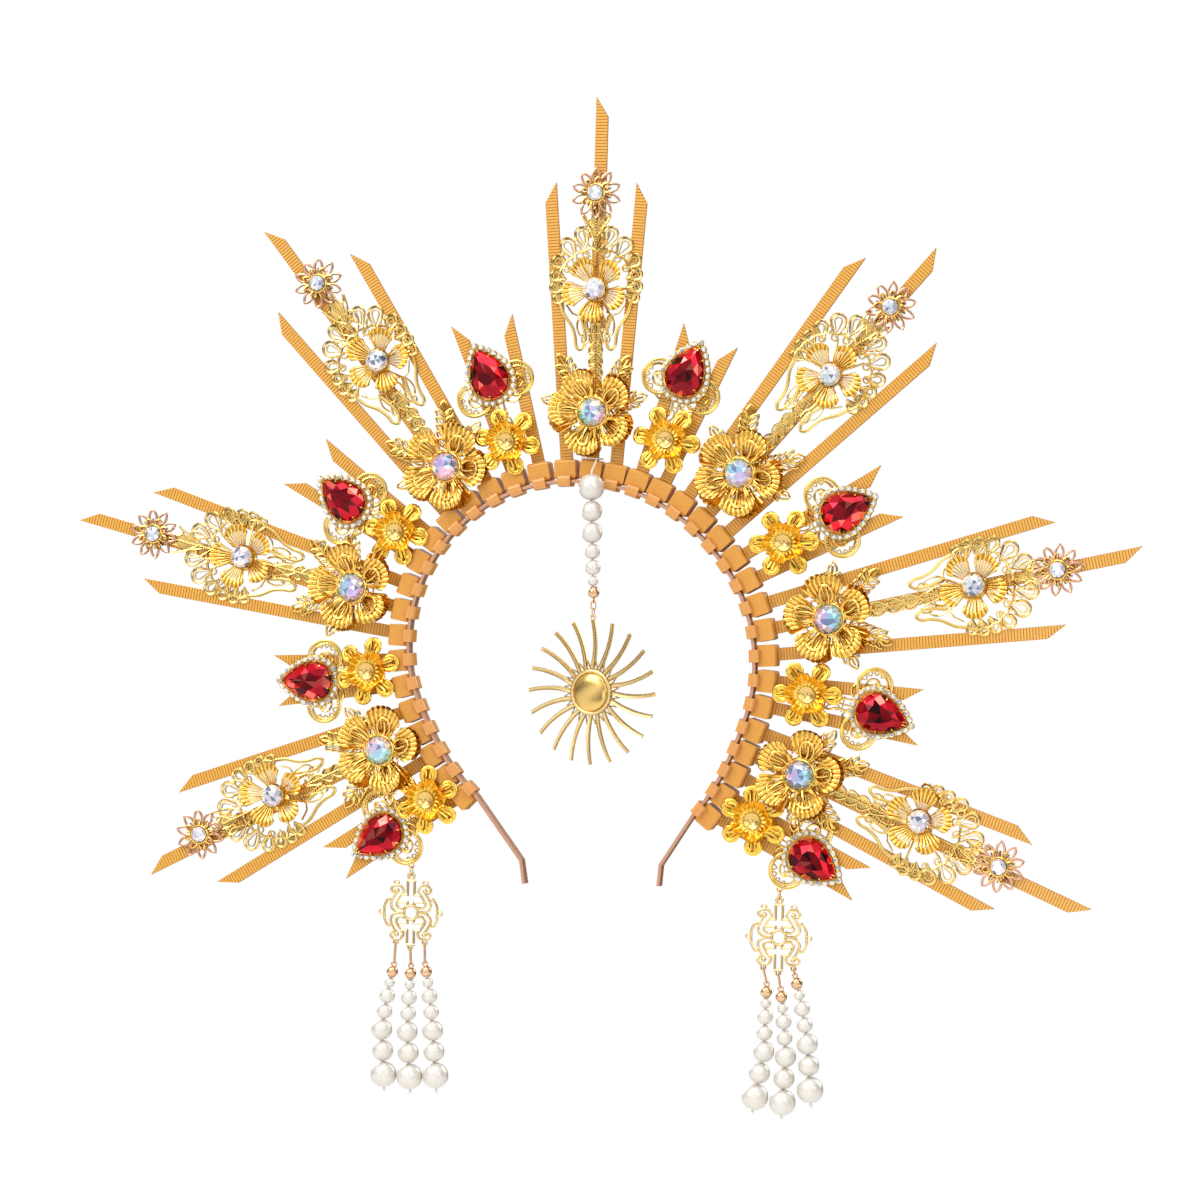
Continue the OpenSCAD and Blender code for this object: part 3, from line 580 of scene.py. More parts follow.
def grow(name, tree, lines, material, values, body="crown", slot="gold", **attributes):
    # plain mesh grown by a tree on lines, or on points when every line has one point
    edges, start = [], 0
    for line in lines:
        edges.extend((start + k, start + k + 1) for k in range(len(line) - 1))
        start += len(line)
    mesh = bpy.data.meshes.new(name)
    mesh.from_pydata(np.vstack(lines).tolist(), edges, [])
    for label, vectors in attributes.items():
        layer = mesh.attributes.new(label, "FLOAT_VECTOR", "POINT")
        layer.data.foreach_set("vector", np.asarray(vectors, float).ravel())
    made = bpy.data.objects.new(name, mesh)
    bpy.context.scene.collection.objects.link(made)
    modifier = made.modifiers.new("grow", "NODES")
    modifier.node_group = tree
    sockets = {item.name: item.identifier for item in tree.interface.items_tree if item.in_out == "INPUT"}
    for label, value in {**values, "Material": material}.items():
        modifier[sockets[label]] = value
    made.update_tag()
    whole = bpy.data.meshes.new_from_object(made.evaluated_get(bpy.context.evaluated_depsgraph_get()))
    made.modifiers.clear()
    made.data = whole
    whole.name = name
    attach(made, body)
    return made


def growBeads(name, lines, material, pitch, radius, body="crown"):
    grow(name, beadTree, lines, material, {"Pitch": pitch * mm, "Grain Radius": radius * mm}, body)


print("growth trees made")


# Ties: kept from the frame, with fine ribs grown across every strap
ties = {"pitch": 1.15, "ribHeight": 0.5, "ribWidth": 0.8, "ribSpread": 0.96, "strapWidth": 4.8,
        "cut": 7.5, "start": 9.0, "end": 0.6}
courseRows = [(-138, 67.5), (-114, 67.3), (-91, 70.3), (-69, 71.8), (-46.5, 71.8), (-24, 70.2), (0, 67.7),
              (22.5, 65.8), (47, 64.3), (71.5, 65), (95.5, 65.4), (119, 66.2), (141, 71.2)]
seats = [towards(away, heading) for heading, away in curved(courseRows, 3)]
# tie number, length, heading, side of its point: 1 is its right one
straps = [(3, 129, -116.9, -1), (2, 106, -122, 1), (4, 105.5, -108.8, -1),
          (8, 142.5, -75.3, -1), (7, 112, -80.7, 1), (9, 116, -70.6, -1),
          (13, 140, -38.2, -1), (12, 112, -43.2, 1), (14, 113, -31.6, -1),
          (18, 147, 0.6, -1), (17, 114.5, -4.5, 1), (19, 115.5, 4.5, -1),
          (23, 139.5, 41.4, -1), (22, 120, 35.2, 1), (24, 114.5, 48.8, -1),
          (28, 149.5, 77.6, -1), (27, 120.5, 72.5, 1), (29, 117.5, 84.3, -1),
          (33, 146.5, 113.5, -1), (32, 117, 109.5, 1), (34, 114, 116.8, -1),
          (0, 62, -123.8, -1), (1, 62, -122.8, 1), (5, 56.5, -98, -1), (6, 56, -92, 1),
          (10, 68, -60.4, -1), (11, 63.5, -51.8, 1), (15, 69, -22.3, -1), (16, 66.5, -13.8, 1),
          (20, 66.5, 17.5, -1), (21, 65.8, 25.6, 1), (25, 70, 58.7, -1), (26, 68, 64.6, 1),
          (30, 64, 94, -1), (31, 65, 100.5, 1), (35, 66, 116.8, -1), (36, 67, 117.2, 1)]
ribSpots, ribTurns, ribSpreads = [], [], []
for number, length, heading, side in straps:
    for away in np.arange(ties["start"], length - ties["end"], ties["pitch"]):
        edge = side * ties["strapWidth"] / 2
        # the other edge runs towards the point over the last stretch
        other = -edge + 2 * edge * max(0, away - length + ties["cut"]) / ties["cut"]
        middle = towards(away, heading) + towards((edge + other) / 2, heading + 90) + seats[number]
        ribSpots.append([(middle[0] * mm, 0.0, (middle[1] - ringDrop) * mm)])
        ribTurns.append((0, math.radians(heading), 0))
        ribSpreads.append((abs(edge - other) * ties["ribSpread"] * mm, 1, 1))
grow("strap_ribs", ribTree, ribSpots, litRibPaint,
     {"Rib Height": ties["ribHeight"] * mm, "Rib Width": ties["ribWidth"] * mm}, slot="strap",
     turn=ribTurns, spread=ribSpreads)
paint(strapPaint, "middle_ties", "side_ties", "short_ties")
paint(roseMetal, "headband")
print("ties done:", len(ribSpots), "ribs")


# Ray panels: pierced filigree round each blossom, with a leafy midrib
panels = {"wire": 0.6, "rise": 0.46, "front": 0.42, "bead": 0.42, "beadPitch": 1.05, "beadLift": 0.1,
          "roseEdge": 9.0, "hornEnd": -20.5}
# heading, reach and radius of each lobe
panelLobes = [(15, 25, 3), (34, 23.6, 3.2), (54, 21.4, 2.7), (71, 19.4, 2.4), (87, 18.6, 2.3), (103, 17.8, 2.2)]
# half width, steps, sides and points of the wires on both sides of the midrib
panelWires = [
    (0.72, 4, 6, [(14.2, -4), (12.6, -9.2), (9.5, -13.8), (8.1, -18), (7.7, -21.4), (6, -23), (4.3, -21),
                  (4.1, -17.5), (5.2, -13), (6.2, -10)]),
    (0.45, 4, 5, [(14.2, -4), (15.6, -1.6), (14.8, 1.2)]),
    (0.4, 4, 5, [(2.2, -9), (3.4, -11.4), (3.2, -14.5), (2.2, -17), (3, -19.8), (4.6, -20.6), (5.6, -19),
                 (4.9, -17.8), (4.1, -18.6)]),
    (0.36, 1, 5, [(2, -15.2), (4.4, -14.8)]),
    (0.36, 1, 5, [(4.2, -8.6), (6.2, -10.2), (9, -9.2), (11.6, -5.8)]),
    (0.4, 4, 5, [(0.2, 14.4), (2.6, 16.6), (4.6, 19.4), (5.2, 22.6), (3.4, 24.2), (1.9, 22.4), (2.4, 19.6)]),
    (0.36, 4, 5, [(2.2, 12.6), (5.2, 14.6), (7.4, 17.4)]),
    (0.4, 4, 5, [(0.3, -21.5), (2.0, -18.5), (1.2, -15.4), (0.3, -12.5)])]
panelEye = [(5.5, -9.4), (7, -12), (7.2, -15.2), (5.9, -17.6), (4.4, -15.6), (4.4, -12)]


def drawPanel(drop, rise):
    # drop: how far out from the rose the blossom sits; rise: from there to the star
    level = panels["front"]
    foot = panels["roseEdge"] - drop
    pitch = (panels["hornEnd"] - foot) / 4
    parts = []

    def bend(line, half=panels["wire"], closed=False, sides=5, front=level):
        parts.append(wire(line, half, panels["rise"], sides, closed, front))

    for side in (1, -1):
        for number, (heading, reach, radius) in enumerate(panelLobes):
            low = reach - 2.9 * radius
            inner = tearLine(reach - 2.5 * radius, reach - 1.9, 0.45 * radius, 8)
            bend(spun(tearLine(low, reach - panels["wire"], radius - 0.35), side * heading), closed=True)
            bend(spun([(0, 14.4), (0, low)], side * heading), 0.45)
            bend(spun(inner, side * heading), 0.36, True, 4)
            # small loops between the lobes, and those of the inner ring
            between = heading - (9 if number else 15)
            bend(circle(1.3, 10, *towards(17.2 if number < 4 else 16, side * between)), 0.4, True, 4)
            bend(circle(1.25, 10, *towards(14.0, side * (heading + 2))), 0.42, True, 4)
        # scalloped ring that ties the lobes together
        bend([towards(15.2 + 0.5 * abs(math.sin(math.radians(angle * 10))), side * angle)
              for angle in np.arange(0, 112, 4)], 0.46)
        # horn, inner loops and scrolls below the blossom, crown of loops above it
        for half, steps, sides, points in panelWires:
            bend(curved(points, steps) * (side, 1), half, sides=sides)
        bend(curved(panelEye, 4, True) * (side, 1), 0.4, True)
        # leaves of the midrib, from the rose to the horns and from the crown to the star
        for m in range(4):
            start = foot + m * pitch
            bend(curved([(0.2, start + 0.5), (2.3, start + 0.15 * pitch), (2.5, start + 0.6 * pitch),
                         (0.2, start + 1.2 * pitch)]) * (side, 1), 0.44)
            bend(curved([(0.2, start + 0.35 * pitch), (1.1, start + 0.5 * pitch),
                         (0.2, start + 0.95 * pitch)], 3) * (side, 1), 0.34, sides=4)
        bend(curved([(0.3, 20.5), (3.0, 24), (4.6, 28), (5.3, rise - 9), (3.7, rise - 11.5), (2.0, rise - 10),
                     (1.7, rise - 6.5), (0.2, rise - 8)]) * (side, 1), 0.44)
        for points in ([(0.3, 22.5), (2.2, 26.5), (3.6, rise - 11)], [(0.3, 24), (1.4, 27), (1.0, rise - 9)]):
            bend(curved(points) * (side, 1), 0.34, sides=4)
    # thin leaf plates under the midrib's wires
    for start, end, half in ((foot - 1, foot + 2 * pitch, 2.3), (foot + 2 * pitch - 1, foot + 4 * pitch, 2.5),
                             (-21.5, -11.5, 1.9), (-12.5, -5, 1.5), (12, 21, 1.2), (20, rise - 8.5, 2.9)):
        parts.append(domed(leafLine(start, end + 1, half, 8, 0.7),
                           [(0, 0.3), (0.6, 0.26), (1, 0.2), (1, 0), (0, 0)], (0, (start + end + 1) / 2)))
    bend(tearLine(15.5, 24.6, 2.2), 0.42, True)
    bend(tearLine(17.5, 22.2, 1.0, 8), 0.3, True, 4)
    bend([(0, 8 - drop), (0, -8.5)], 0.45, front=level + 0.1)
    bend([(0, 8.5), (0, rise - 4.5)], 0.45, front=level + 0.1)
    for out in (-13.2, -16.8):
        bend([(-2.2, out), (2.2, out)], 0.36)
    # star-shaped middle under the blossom
    parts.append(lathed([(0, 0.8), (4.6, 0.8), (5, 0.6), (5, 0.15), (4.6, 0), (0, 0)]))
    for heading in range(30, 360, 60):
        bend([towards(4.6, heading), towards(13.6, heading)], 0.45)
    return joined(parts)


panelBeads = []
height = panels["front"] + panels["rise"] + panels["beadLift"]
beadCurve = curved([(3, -9.8), (4, -12.6), (3.6, -15), (2.8, -17.4)])
for k, ray in enumerate(rays):
    place = (ray["panel"], ray["heading"], panelBack)
    makePiece(f"ray_panel_{k + 1}_filigree", placed(drawPanel(ray["drop"], ray["rise"]), *place), paleGold,
              f"ray_panel_{k + 1}")
    for line in ([(0, 10 - ray["drop"]), (0, -9.5)], [(0, 9.5), (0, ray["rise"] - 5)]):
        panelBeads.append(placed((lifted(line, height), []), *place)[0])
    for side in (1, -1):
        panelBeads.append(placed((lifted(beadCurve * (side, 1), height - 0.15), []), *place)[0])
growBeads("panel_beads", panelBeads, paleGold, panels["beadPitch"], panels["bead"])
print("panels done")


# Roses: two layers of pleated petals, twisted wire round the crystal, openwork leaves
roses = {"front": {"reach": 16.7, "root": 5.4, "spread": 31, "heights": (1.5, 2.0, 3.2, 4.6, 5.9, 6.6, 6.4),
                   "pleats": 9, "depth": 0.85, "thick": 0.4, "rows": 11, "slotRows": (1, 4), "curl": 1.5,
                   "rim": 0.4, "roundness": 0.2},
         "back": {"reach": 17.4, "root": 6, "spread": 27, "heights": (0.7, 1.2, 2.2, 3.4, 4.2), "pleats": 7,
                  "depth": 0.45, "thick": 0.4, "rows": 6, "curl": 0.2, "rim": 0.35, "roundness": 0.16},
         "strand": 0.5, "vein": 0.46, "claws": 10, "seed": 40, "beadPitch": 0.95, "bead": 0.36}
roseLeaves = [(-75, 21.5), (-33, 26.5), (33, 25.5), (73, 21.5)]


def drawRose(turn, chance):
    parts = []
    front, behind = fanPetal(**roses["front"]), fanPetal(**roses["back"])
    vein = roses["vein"]
    gapLoop = wire(curved([(-0.5, 5.6, 2.6), (-1.3, 7.6, 3.1), (0, 9.2, 3.6), (1.3, 7.6, 3.1), (0.5, 5.6, 2.6)],
                          3), 0.38, sides=4, twist=40)
    for k in range(5):
        lean, roll = chance.uniform(-2, 3), chance.uniform(-9, 9)
        heading = turn + 72 * k + chance.uniform(-3, 3)
        # twisted strands looped over the petal
        wide = chance.uniform(2.4, 3.4)
        loop = curved([(-1.2, 5.4, 2.8), (-wide, 8.6, 4.3), (-wide + 0.5, 11.8, 5.9), (0, 13, 6.5),
                       (wide - 0.5, 11.8, 5.9), (wide, 8.6, 4.3), (1.2, 5.4, 2.8)], 3)
        petal = [front, wire(loop, roses["strand"])]
        edge = curved([(1.8, 5.2, 2.8), (3.5, 8, 3.9), (4.9, 11, 5.6), (5.3, 13.6, 6.9)], 3)
        petal += [wire(edge * (side, 1, 1), vein) for side in (1, -1)]
        petal.append(wire(curved([(0.2, 5.4, 2.8), (0.6, 8.5, 3.9), (0.1, 11.6, 5.7)], 3), vein, sides=5))
        parts += [turned(leaned(rolled(joined(petal), roll), lean), heading), turned(behind, turn - 8 + 72 * k),
                  turned(gapLoop, turn + 72 * k + 36)]
    hub = [(0, 1.7), (5.2, 1.7), (6.6, 2.3), (6.8, 2), (5.4, 1.1), (4.2, 0.7), (4, -0.9), (0, -0.9)]
    rope = [(6.35 * math.sin(a), 6.35 * math.cos(a), 2.9 + 0.25 * math.sin(10 * a))
            for a in np.arange(54) * 2 * np.pi / 54]
    parts += [lathed(hub, 30, lambda k, a, r, f: (r * (1 + 0.04 * math.cos(10 * a)) if k in (2, 3) else r, f)),
              ringWire(5.75, 0.42, 0.5, 6, 40, 3.4), wire(rope, 0.42, sides=4, closed=True, twist=20)]
    claw = wire([(0, 5.7, 3.3), (0, 5.35, 4.3), (0, 4.6, 4.9)], 0.28, sides=4)
    parts += [turned(claw, 360 / roses["claws"] * k + 10) for k in range(roses["claws"])]
    return joined(parts)


def drawLeaf(reach):
    # pairs of pointed leaflets along a midrib, and one at the tip
    parts = [wire([(0, 5), (0, reach - 1.6)], 0.5, 0.45, 5, front=0.45),
             wire(leafLine(reach - 6, reach, 1.7, 7), 0.46, 0.42, 5, True, 0.45)]
    long = 5.2 if reach > 24 else 4.6
    for foot in np.arange(reach - 7.2, 5.5, -2.7):
        for side in (1, -1):
            leaflet = spun(leafLine(0.2, long, 1.25, 6, 0.75), side * 42) + (0, foot)
            rib = spun([(0, 0.3), (0, long - 0.8)], side * 42) + (0, foot)
            parts += [wire(leaflet, 0.42, 0.42, 5, True, 0.45), wire(rib, 0.32, 0.36, 4, front=0.45)]
    return joined(parts)


leafBeads = []
leaves = [turned(drawLeaf(reach), heading) for heading, reach in roseLeaves]
for k, ray in enumerate(rays):
    place = (ray["rose"], ray["heading"], flowerBack)
    flower = drawRose(ray["roseTurn"], np.random.default_rng(roses["seed"] + k))
    makePiece(f"rose_{k + 1}_petals", placed(joined([flower, *leaves]), *place), gold, f"rose_{k + 1}")
    for heading, reach in roseLeaves:
        leafBeads.append(placed((lifted(spun([(0, 8), (0, reach - 5)], heading), 0.95), []), *place)[0])
growBeads("leaf_beads", leafBeads, paleGold, roses["beadPitch"], roses["bead"])
print("roses done")


# Blossoms: five slotted petals each
blossoms = {"reach": 12.9, "root": 3.8, "spread": 29, "heights": (0.7, 0.9, 1.7, 2.8, 3.4, 3.3), "pleats": 7,
            "depth": 0.85, "thick": 0.35, "rows": 8, "perPleat": 6, "slotRows": (0, 5), "curl": 0.25,
            "rim": 0.35, "roundness": 0.2}


def drawBlossom():
    claw = wire([(0, 4.55, 1.4), (0, 4.35, 2.4), (0, 3.75, 3.0)], 0.24, sides=4)
    return joined([*[turned(fanPetal(**blossoms), 72 * k) for k in range(5)],
                   lathed([(0, 0.95), (4.2, 0.95), (4.5, 0.75), (4.5, 0.4), (3.4, 0), (0, 0)], 30),
                   ringWire(4.55, 0.32, 0.45, 5, 36, 1.5), *[turned(claw, 45 * k) for k in range(8)]])


blossom = drawBlossom()
makePiece("ray_blossoms_petals", joined([placed(blossom, ray["blossom"], ray["blossomTurn"], flowerBack)
                                         for ray in rays]), gold, "ray_blossoms")
print("blossoms done")


# Tip stars: ten pointed loops over the strap's end, eight short ones on top
stars = {"points": 10, "reach": 9.5, "wire": 0.54, "topPoints": 8, "topReach": 6.3, "topWire": 0.42}


def drawStar():
    loop = wire(leafLine(3.2, stars["reach"], 1.5, 7, 0.75), stars["wire"], 0.42, 6, True, 0.42)
    point = joined([loop, wire([(0, 3.4), (0, 6.0)], 0.42, 0.36, 5, front=0.42)])
    return joined([*[turned(point, 360 / stars["points"] * k) for k in range(stars["points"])],
                   lathed([(0, 0.75), (3.6, 0.75), (3.9, 0.55), (3.9, 0.15), (3.6, 0), (0, 0)])])


def drawStarTop():
    line = leafLine(2.6, stars["topReach"], 1.05, 6, 0.7)
    loop = turned(leaned(wire(line, stars["topWire"], 0.38, 5, True, 0.95), 4), 10)
    point = joined([loop, wire([(0, 3.25, 1.1), (0, 3.1, 2.1), (0, 2.6, 2.5)], 0.22, sides=4)])
    return joined([*[turned(point, 360 / stars["topPoints"] * k) for k in range(stars["topPoints"])],
                   lathed([(0, 1.25), (3.1, 1.25), (3.4, 1.1), (3.4, 0.8), (3.1, 0.7), (0, 0.7)]),
                   ringWire(3.4, 0.4, 0.5, 6, 28, 1.6)])


for name, star, material, slot, nodes in (("tip_stars_loops", drawStar(), copper, "rose_gold", ["tip_stars"]),
                                          ("tip_stars_tops", drawStarTop(), gold, "gold", [])):
    shape = joined([placed(star, ray["star"], ray["heading"], flowerBack) for ray in rays])
    makePiece(name, shape, material, *nodes, slot=slot)
print("stars done")


# Stones: brilliant cuts, each facet with its own colour
crystals = {"rose": 10.6, "blossom": 8.6, "star": 6.0, "height": 0.45, "few": 0.14}
# pairs of main tones, partly the stones' own hue and partly painted reflection, then the few painted glints and
# painted dark reflections
tones = {"iris": ([((0.35, 0.7, 0.88), (0.72, 0.5, 0.88)), ((0.5, 0.42, 0.85), (0.95, 0.62, 0.78)),
                   ((0.3, 0.72, 0.8), (0.8, 0.62, 0.9)), ((0.75, 0.6, 0.92), (0.35, 0.7, 0.92)),
                   ((0.35, 0.8, 0.9), (0.85, 0.62, 0.85))], (1.0, 1.0, 1.0), (0.22, 0.3, 0.5)),
         "clear": ([((0.85, 0.9, 0.95), (0.6, 0.62, 0.72)), ((0.95, 0.88, 0.9), (0.55, 0.68, 0.78)),
                    ((0.9, 0.92, 0.97), (0.7, 0.62, 0.75))], (1.0, 1.0, 1.0), (0.2, 0.24, 0.34)),
         "red": ([((0.8, 0.004, 0.02), (0.3, 0.0, 0.008)), ((0.9, 0.01, 0.03), (0.22, 0.0, 0.008)),
                  ((0.7, 0.003, 0.018), (0.34, 0.0, 0.01))], (1.0, 0.16, 0.12), (0.07, 0.0, 0.004))}


def facetColours(stone, palette, chance, tableShade):
    # painted reflection: the tone swings round the stone and jumps a little from facet to facet
    pairs, glintColour, darkReflectionColour = tones[palette]
    first, second = np.array(pairs[int(chance.integers(len(pairs)))])
    phase = chance.uniform(0, 2 * math.pi)
    colours = []
    for number, face in enumerate(stone[1]):
        across, out, _ = stone[0][list(face)].mean(axis=0)
        share = 0.5 + 0.5 * math.cos(math.atan2(across, out) - phase) + chance.uniform(-0.35, 0.35)
        colour = first + (second - first) * min(1, max(0, share))
        pick = chance.uniform()
        if pick < crystals["few"]:
            colour = glintColour
        elif pick > 1 - crystals["few"]:
            colour = darkReflectionColour
        # the first of a main's five facets lies in the table
        colours.append(tuple(float(c) * (tableShade if number % 5 == 0 else 1.0) for c in colour))
    return colours


def setStones(name, stone, places, palette, seed, material, slot, cadNode, tableShade=1.0):
    # places: (spot, heading, back) of each stone
    made = makePiece(name, joined([placed(stone, *place) for place in places]), material, cadNode, slot=slot,
                     smooth=False)
    chance = np.random.default_rng(seed)
    colourFacets(made, [colour for _ in places for colour in facetColours(stone, palette, chance, tableShade)])


for label, turn, back, palette, seed in (("rose", 11, panelBack - 2.9, "iris", 3),
                                         ("blossom", 13, flowerBack - 1.15, "clear", 5),
                                         ("star", 17, flowerBack - 1.35, "clear", 8)):
    width = crystals[label]
    stone = cutStone(lambda t: (width / 2 * math.sin(2 * math.pi * t), width / 2 * math.cos(2 * math.pi * t)),
                     crystals["height"] * width, 8)
    places = [(ray[label], ray["heading"] + turn * k, back) for k, ray in enumerate(rays)]
    setStones(f"{label}_crystals_cut", stone, places, palette, seed, crystalGlass, "crystal", f"{label}_crystals")
print("round crystals done")


# Pear stones, their rhinestone borders and filigree bases
settings = {"length": 19.5, "width": 14.0, "border": 3.1, "rhinestones": 24, "studLine": 3.9,
            "studFront": 1.05, "lobeX": 9.2, "lobeZ": -6.5, "lobe": 6.6, "stoneHeight": 4.2,
            "tableShade": 0.4, "seed": 20, "beadPitch": 0.95, "bead": 0.4}
rhinestone = {"Vertices": 8, "Radius Top": 0.62 * mm, "Radius Bottom": 1.12 * mm, "Depth": 0.7 * mm}
rhinestoneCup = {"Vertices": 10, "Radius Top": 1.22 * mm, "Radius Bottom": 1.3 * mm, "Depth": 0.8 * mm}
sparkle = [(1.0, 1.0, 1.0), (1.0, 1.0, 1.0), (0.95, 0.96, 1.0), (0.45, 0.46, 0.52), (1.0, 0.97, 0.9)]


def pearPoint(length, width, t):
    a = 2 * math.pi * t
    return width / 2 * math.sin(a) * abs(math.sin(a / 2)) ** 0.8 / 0.803, length / 2 * math.cos(a)


def pearLine(wider, count):
    # the stone's outline, longer and wider by so much
    return np.array([pearPoint(settings["length"] + wider, settings["width"] + wider, k / count)
                     for k in range(count)])


def dropEye(pear, side):
    # where an end drop hangs from the lobe on that side
    return (pear["stone"] + side * settings["lobeX"] * towards(1, pear["point"] + 90)
            + towards(settings["lobeZ"], pear["point"]) + towards(settings["lobe"] + 1, 180 + 20 * side))


def drawSetting():
    parts = [domed(pearLine(2 * settings["border"], 60),
                   [(0, 1.05), (0.72, 1.05), (0.9, 1.15), (0.985, 0.9), (1, 0.5), (0.97, 0), (0, 0)]),
             wire(pearLine(1.1, 56), 0.42, 1.0, 5, True, 2.2), wire(pearLine(1.9, 56), 0.28, 0.5, 4, True, 1.6)]
    # claws
    for x, z in pearLine(0.6, 20)[1::2]:
        parts.append(wire([(x, z, 2.4), (x * 0.97, z * 0.97, 3.5), (x * 0.86, z * 0.88, 4.1)], 0.3, sides=4))
    # both lobes: line, half its width, half its height, sides, closed, front
    lobeX, lobe = settings["lobeX"], settings["lobe"]
    centre, low = np.array([lobeX, settings["lobeZ"]]), settings["lobeZ"] - lobe
    curl = [centre + towards(6.4 - 4.9 * t, 200 - 560 * t) for t in np.linspace(0, 1, 34)]
    foot = curved([(lobeX - 1, low), (lobeX - 4, low - 1.2), (lobeX - 6.8, low + 0.4), (lobeX - 6.6, low + 2.4),
                   (lobeX - 4.9, low + 2.4)])
    wires = [(circle(lobe - 0.05, 36, *centre), 0.6, 0.42, 6, True, 0.42), (curl, 0.46, 0.4, 5, False, 0.4),
             (circle(1.0, 12, *(centre + towards(0.4, 40))), 0.42, 0.5, 5, True, 0.5),
             (foot, 0.44, 0.4, 5, False, 0.4)]
    wires += [(centre + spun(tearLine(3.9, 6.3, 1.0, 7), heading), 0.36, 0.36, 4, True, 0.4)
              for heading in (70, 100, 130, 160)]
    for side in (1, -1):
        parts += [wire(np.asarray(line, float) * (side, 1), *form) for line, *form in wires]
    return joined(parts)


def drawNeck(out):
    # scrolls between the stone and the daisy
    middle, half = out / 2 - 4.5, (out - 3) / 2
    outer = curved([(2.2, middle - half), (3.3, middle - 2), (2, middle + 2), (3.2, middle + half)], 5)
    inner = curved([(3.2, middle - 3), (1, middle - 1), (0.8, middle + 1.6), (2.2, middle + 2.6),
                    (2.8, middle + 1)])
    parts = [wire([(0, middle - half), (0, middle + half)], 0.45, 0.38, 4, front=0.4)]
    for side in (1, -1):
        parts += [wire(outer * (side, 1), 0.42, 0.38, 5, front=0.4),
                  wire(inner * (side, 1), 0.36, 0.36, 4, front=0.4)]
    for rung in (0.3 - half, -3.4, 3.4, half - 0.3):
        parts.append(wire([(-3, middle + rung), (3, middle + rung)], 0.36, 0.36, 4, front=0.4))
    return joined(parts)


setting, settingBeads, studSpots = drawSetting(), [], []
lobeBeads = lifted([(settings["lobeX"], settings["lobeZ"]) + towards(settings["lobe"] - 1, angle)
                    for angle in range(5, 236, 10)], 0.6)
# small round stones at even steps along the border
border = pearLine(settings["studLine"], 240)
steps = np.linalg.norm(np.roll(border, -1, 0) - border, axis=1)
run = np.concatenate([[0], np.cumsum(steps)[:-1]])
distances = steps.sum() * np.arange(settings["rhinestones"]) / settings["rhinestones"]
borderSpots = lifted(border[np.searchsorted(run, distances)], settings["studFront"])
for k, pear in enumerate(pears):
    place = (pear["stone"], pear["point"], panelBack)
    parts = [placed(setting, *place), placed(drawNeck(pear["out"]), pear["daisy"], pear["neck"], panelBack)]
    if k in (0, len(pears) - 1):
        eye = dropEye(pear, 1 if k else -1)
        parts.append(placed(ringWire(0.95, 0.3, 0.3, 8, 20), eye, 0, panelBack - 0.4))
    makePiece(f"pear_setting_{k + 1}_frame", joined(parts), gold, f"pear_setting_{k + 1}")
    studSpots += [point[None] for point in placed((borderSpots, []), *place)[0]]
    settingBeads += [placed((lobeBeads * (side, 1, 1), []), *place)[0] for side in (1, -1)]
stone = cutStone(lambda t: pearPoint(settings["length"], settings["width"], t), settings["stoneHeight"], 10)
for k, pear in enumerate(pears):
    setStones(f"red_stone_{k + 1}_cut", stone, [(pear["stone"], pear["point"], panelBack - 1.2)], "red",
              settings["seed"] + k, redGlass, "red_stone", f"red_stone_{k + 1}", settings["tableShade"])
growBeads("setting_beads", settingBeads, paleGold, settings["beadPitch"], settings["bead"])
upright = [(math.pi / 2, 0, 0)] * len(studSpots)
stud = grow("rhinestones", studTree, [spot - (0, 0.75 * mm, 0) for spot in studSpots], crystalGlass,
            rhinestone, slot="crystal", turn=upright)
chance = np.random.default_rng(4)
colourFacets(stud, [sparkle[pick] for pick in chance.integers(0, len(sparkle), len(stud.data.polygons))])
grow("rhinestone_cups", studTree, studSpots, paleGold, rhinestoneCup, turn=upright)
print("settings done")


# Daisies: petals like coffee beans round a ruffled cup, on a short stem
daisies = {"reach": 13.2, "endRadius": 3.3, "tilt": 9, "lift": 3.25, "ruffles": 18, "petals": 6, "flat": 115}


def drawDaisyPetal():
    reach, radius = daisies["reach"], daisies["endRadius"]
    outline = [(across, out, 0.6 + 0.5 * abs(across) / radius)
               for across, out in tearLine(2.2, reach - 0.65, radius - 0.6, 16)]
    # one bean on each side of a wavy seam
    bean = curved([(0.85, 5.2, 0.75), (1.75, 7.6, 0.95), (1.9, 9.8, 1.0), (1.0, 11.2, 1.0), (0.75, 9.4, 0.8),
                   (0.8, 7, 0.7)], 4, True)
    profile = [(0, -0.3), (0.6, -0.28), (0.95, 0.1), (1, 0.05), (0.95, -0.45), (0, -0.6)]
    plate = domed(tearLine(2.4, reach - 0.8, radius - 0.8, 14), profile, (0, reach - radius))
    return joined([wire(outline, 0.84, 0.6, 8, True), plate,
                   *[wire(bean * (side, 1, 1), 0.58, 0.6, 7, True) for side in (1, -1)]])


def drawCup():
    ruffles = daisies["ruffles"]

    def ruffle(k, angle, radius, front):
        share, fold = max(0.0, (radius - 4.2) / 3.4), math.cos(ruffles * angle)
        return (radius + 0.4 * share * fold + 0.8 * share * math.cos(5 * angle + 1),
                front + min(1, 2.5 * share) * 0.85 * fold + 0.5 * share * math.sin(4 * angle))
    wall = [(0, 1.0), (2.6, 1.0), (3.1, 1.3), (3.6, 1.2), (4.4, 1.35), (5.4, 2.0),
            (6.5, 2.9), (7.5, 3.4), (7.75, 3.3), (6.9, 2.5), (5.7, 1.5), (4.8, 0.7), (4.2, 0.3), (0, 0.3)]
    return lathed(wall, 108, ruffle)


lift = daisies["lift"]
petal, cup, centres = drawDaisyPetal(), drawCup(), []
stem = lathed([(0, lift + 0.5), (5.2, lift + 0.5), (5.2, lift), (3, lift - 0.3), (2.9, 0), (0, 0)])
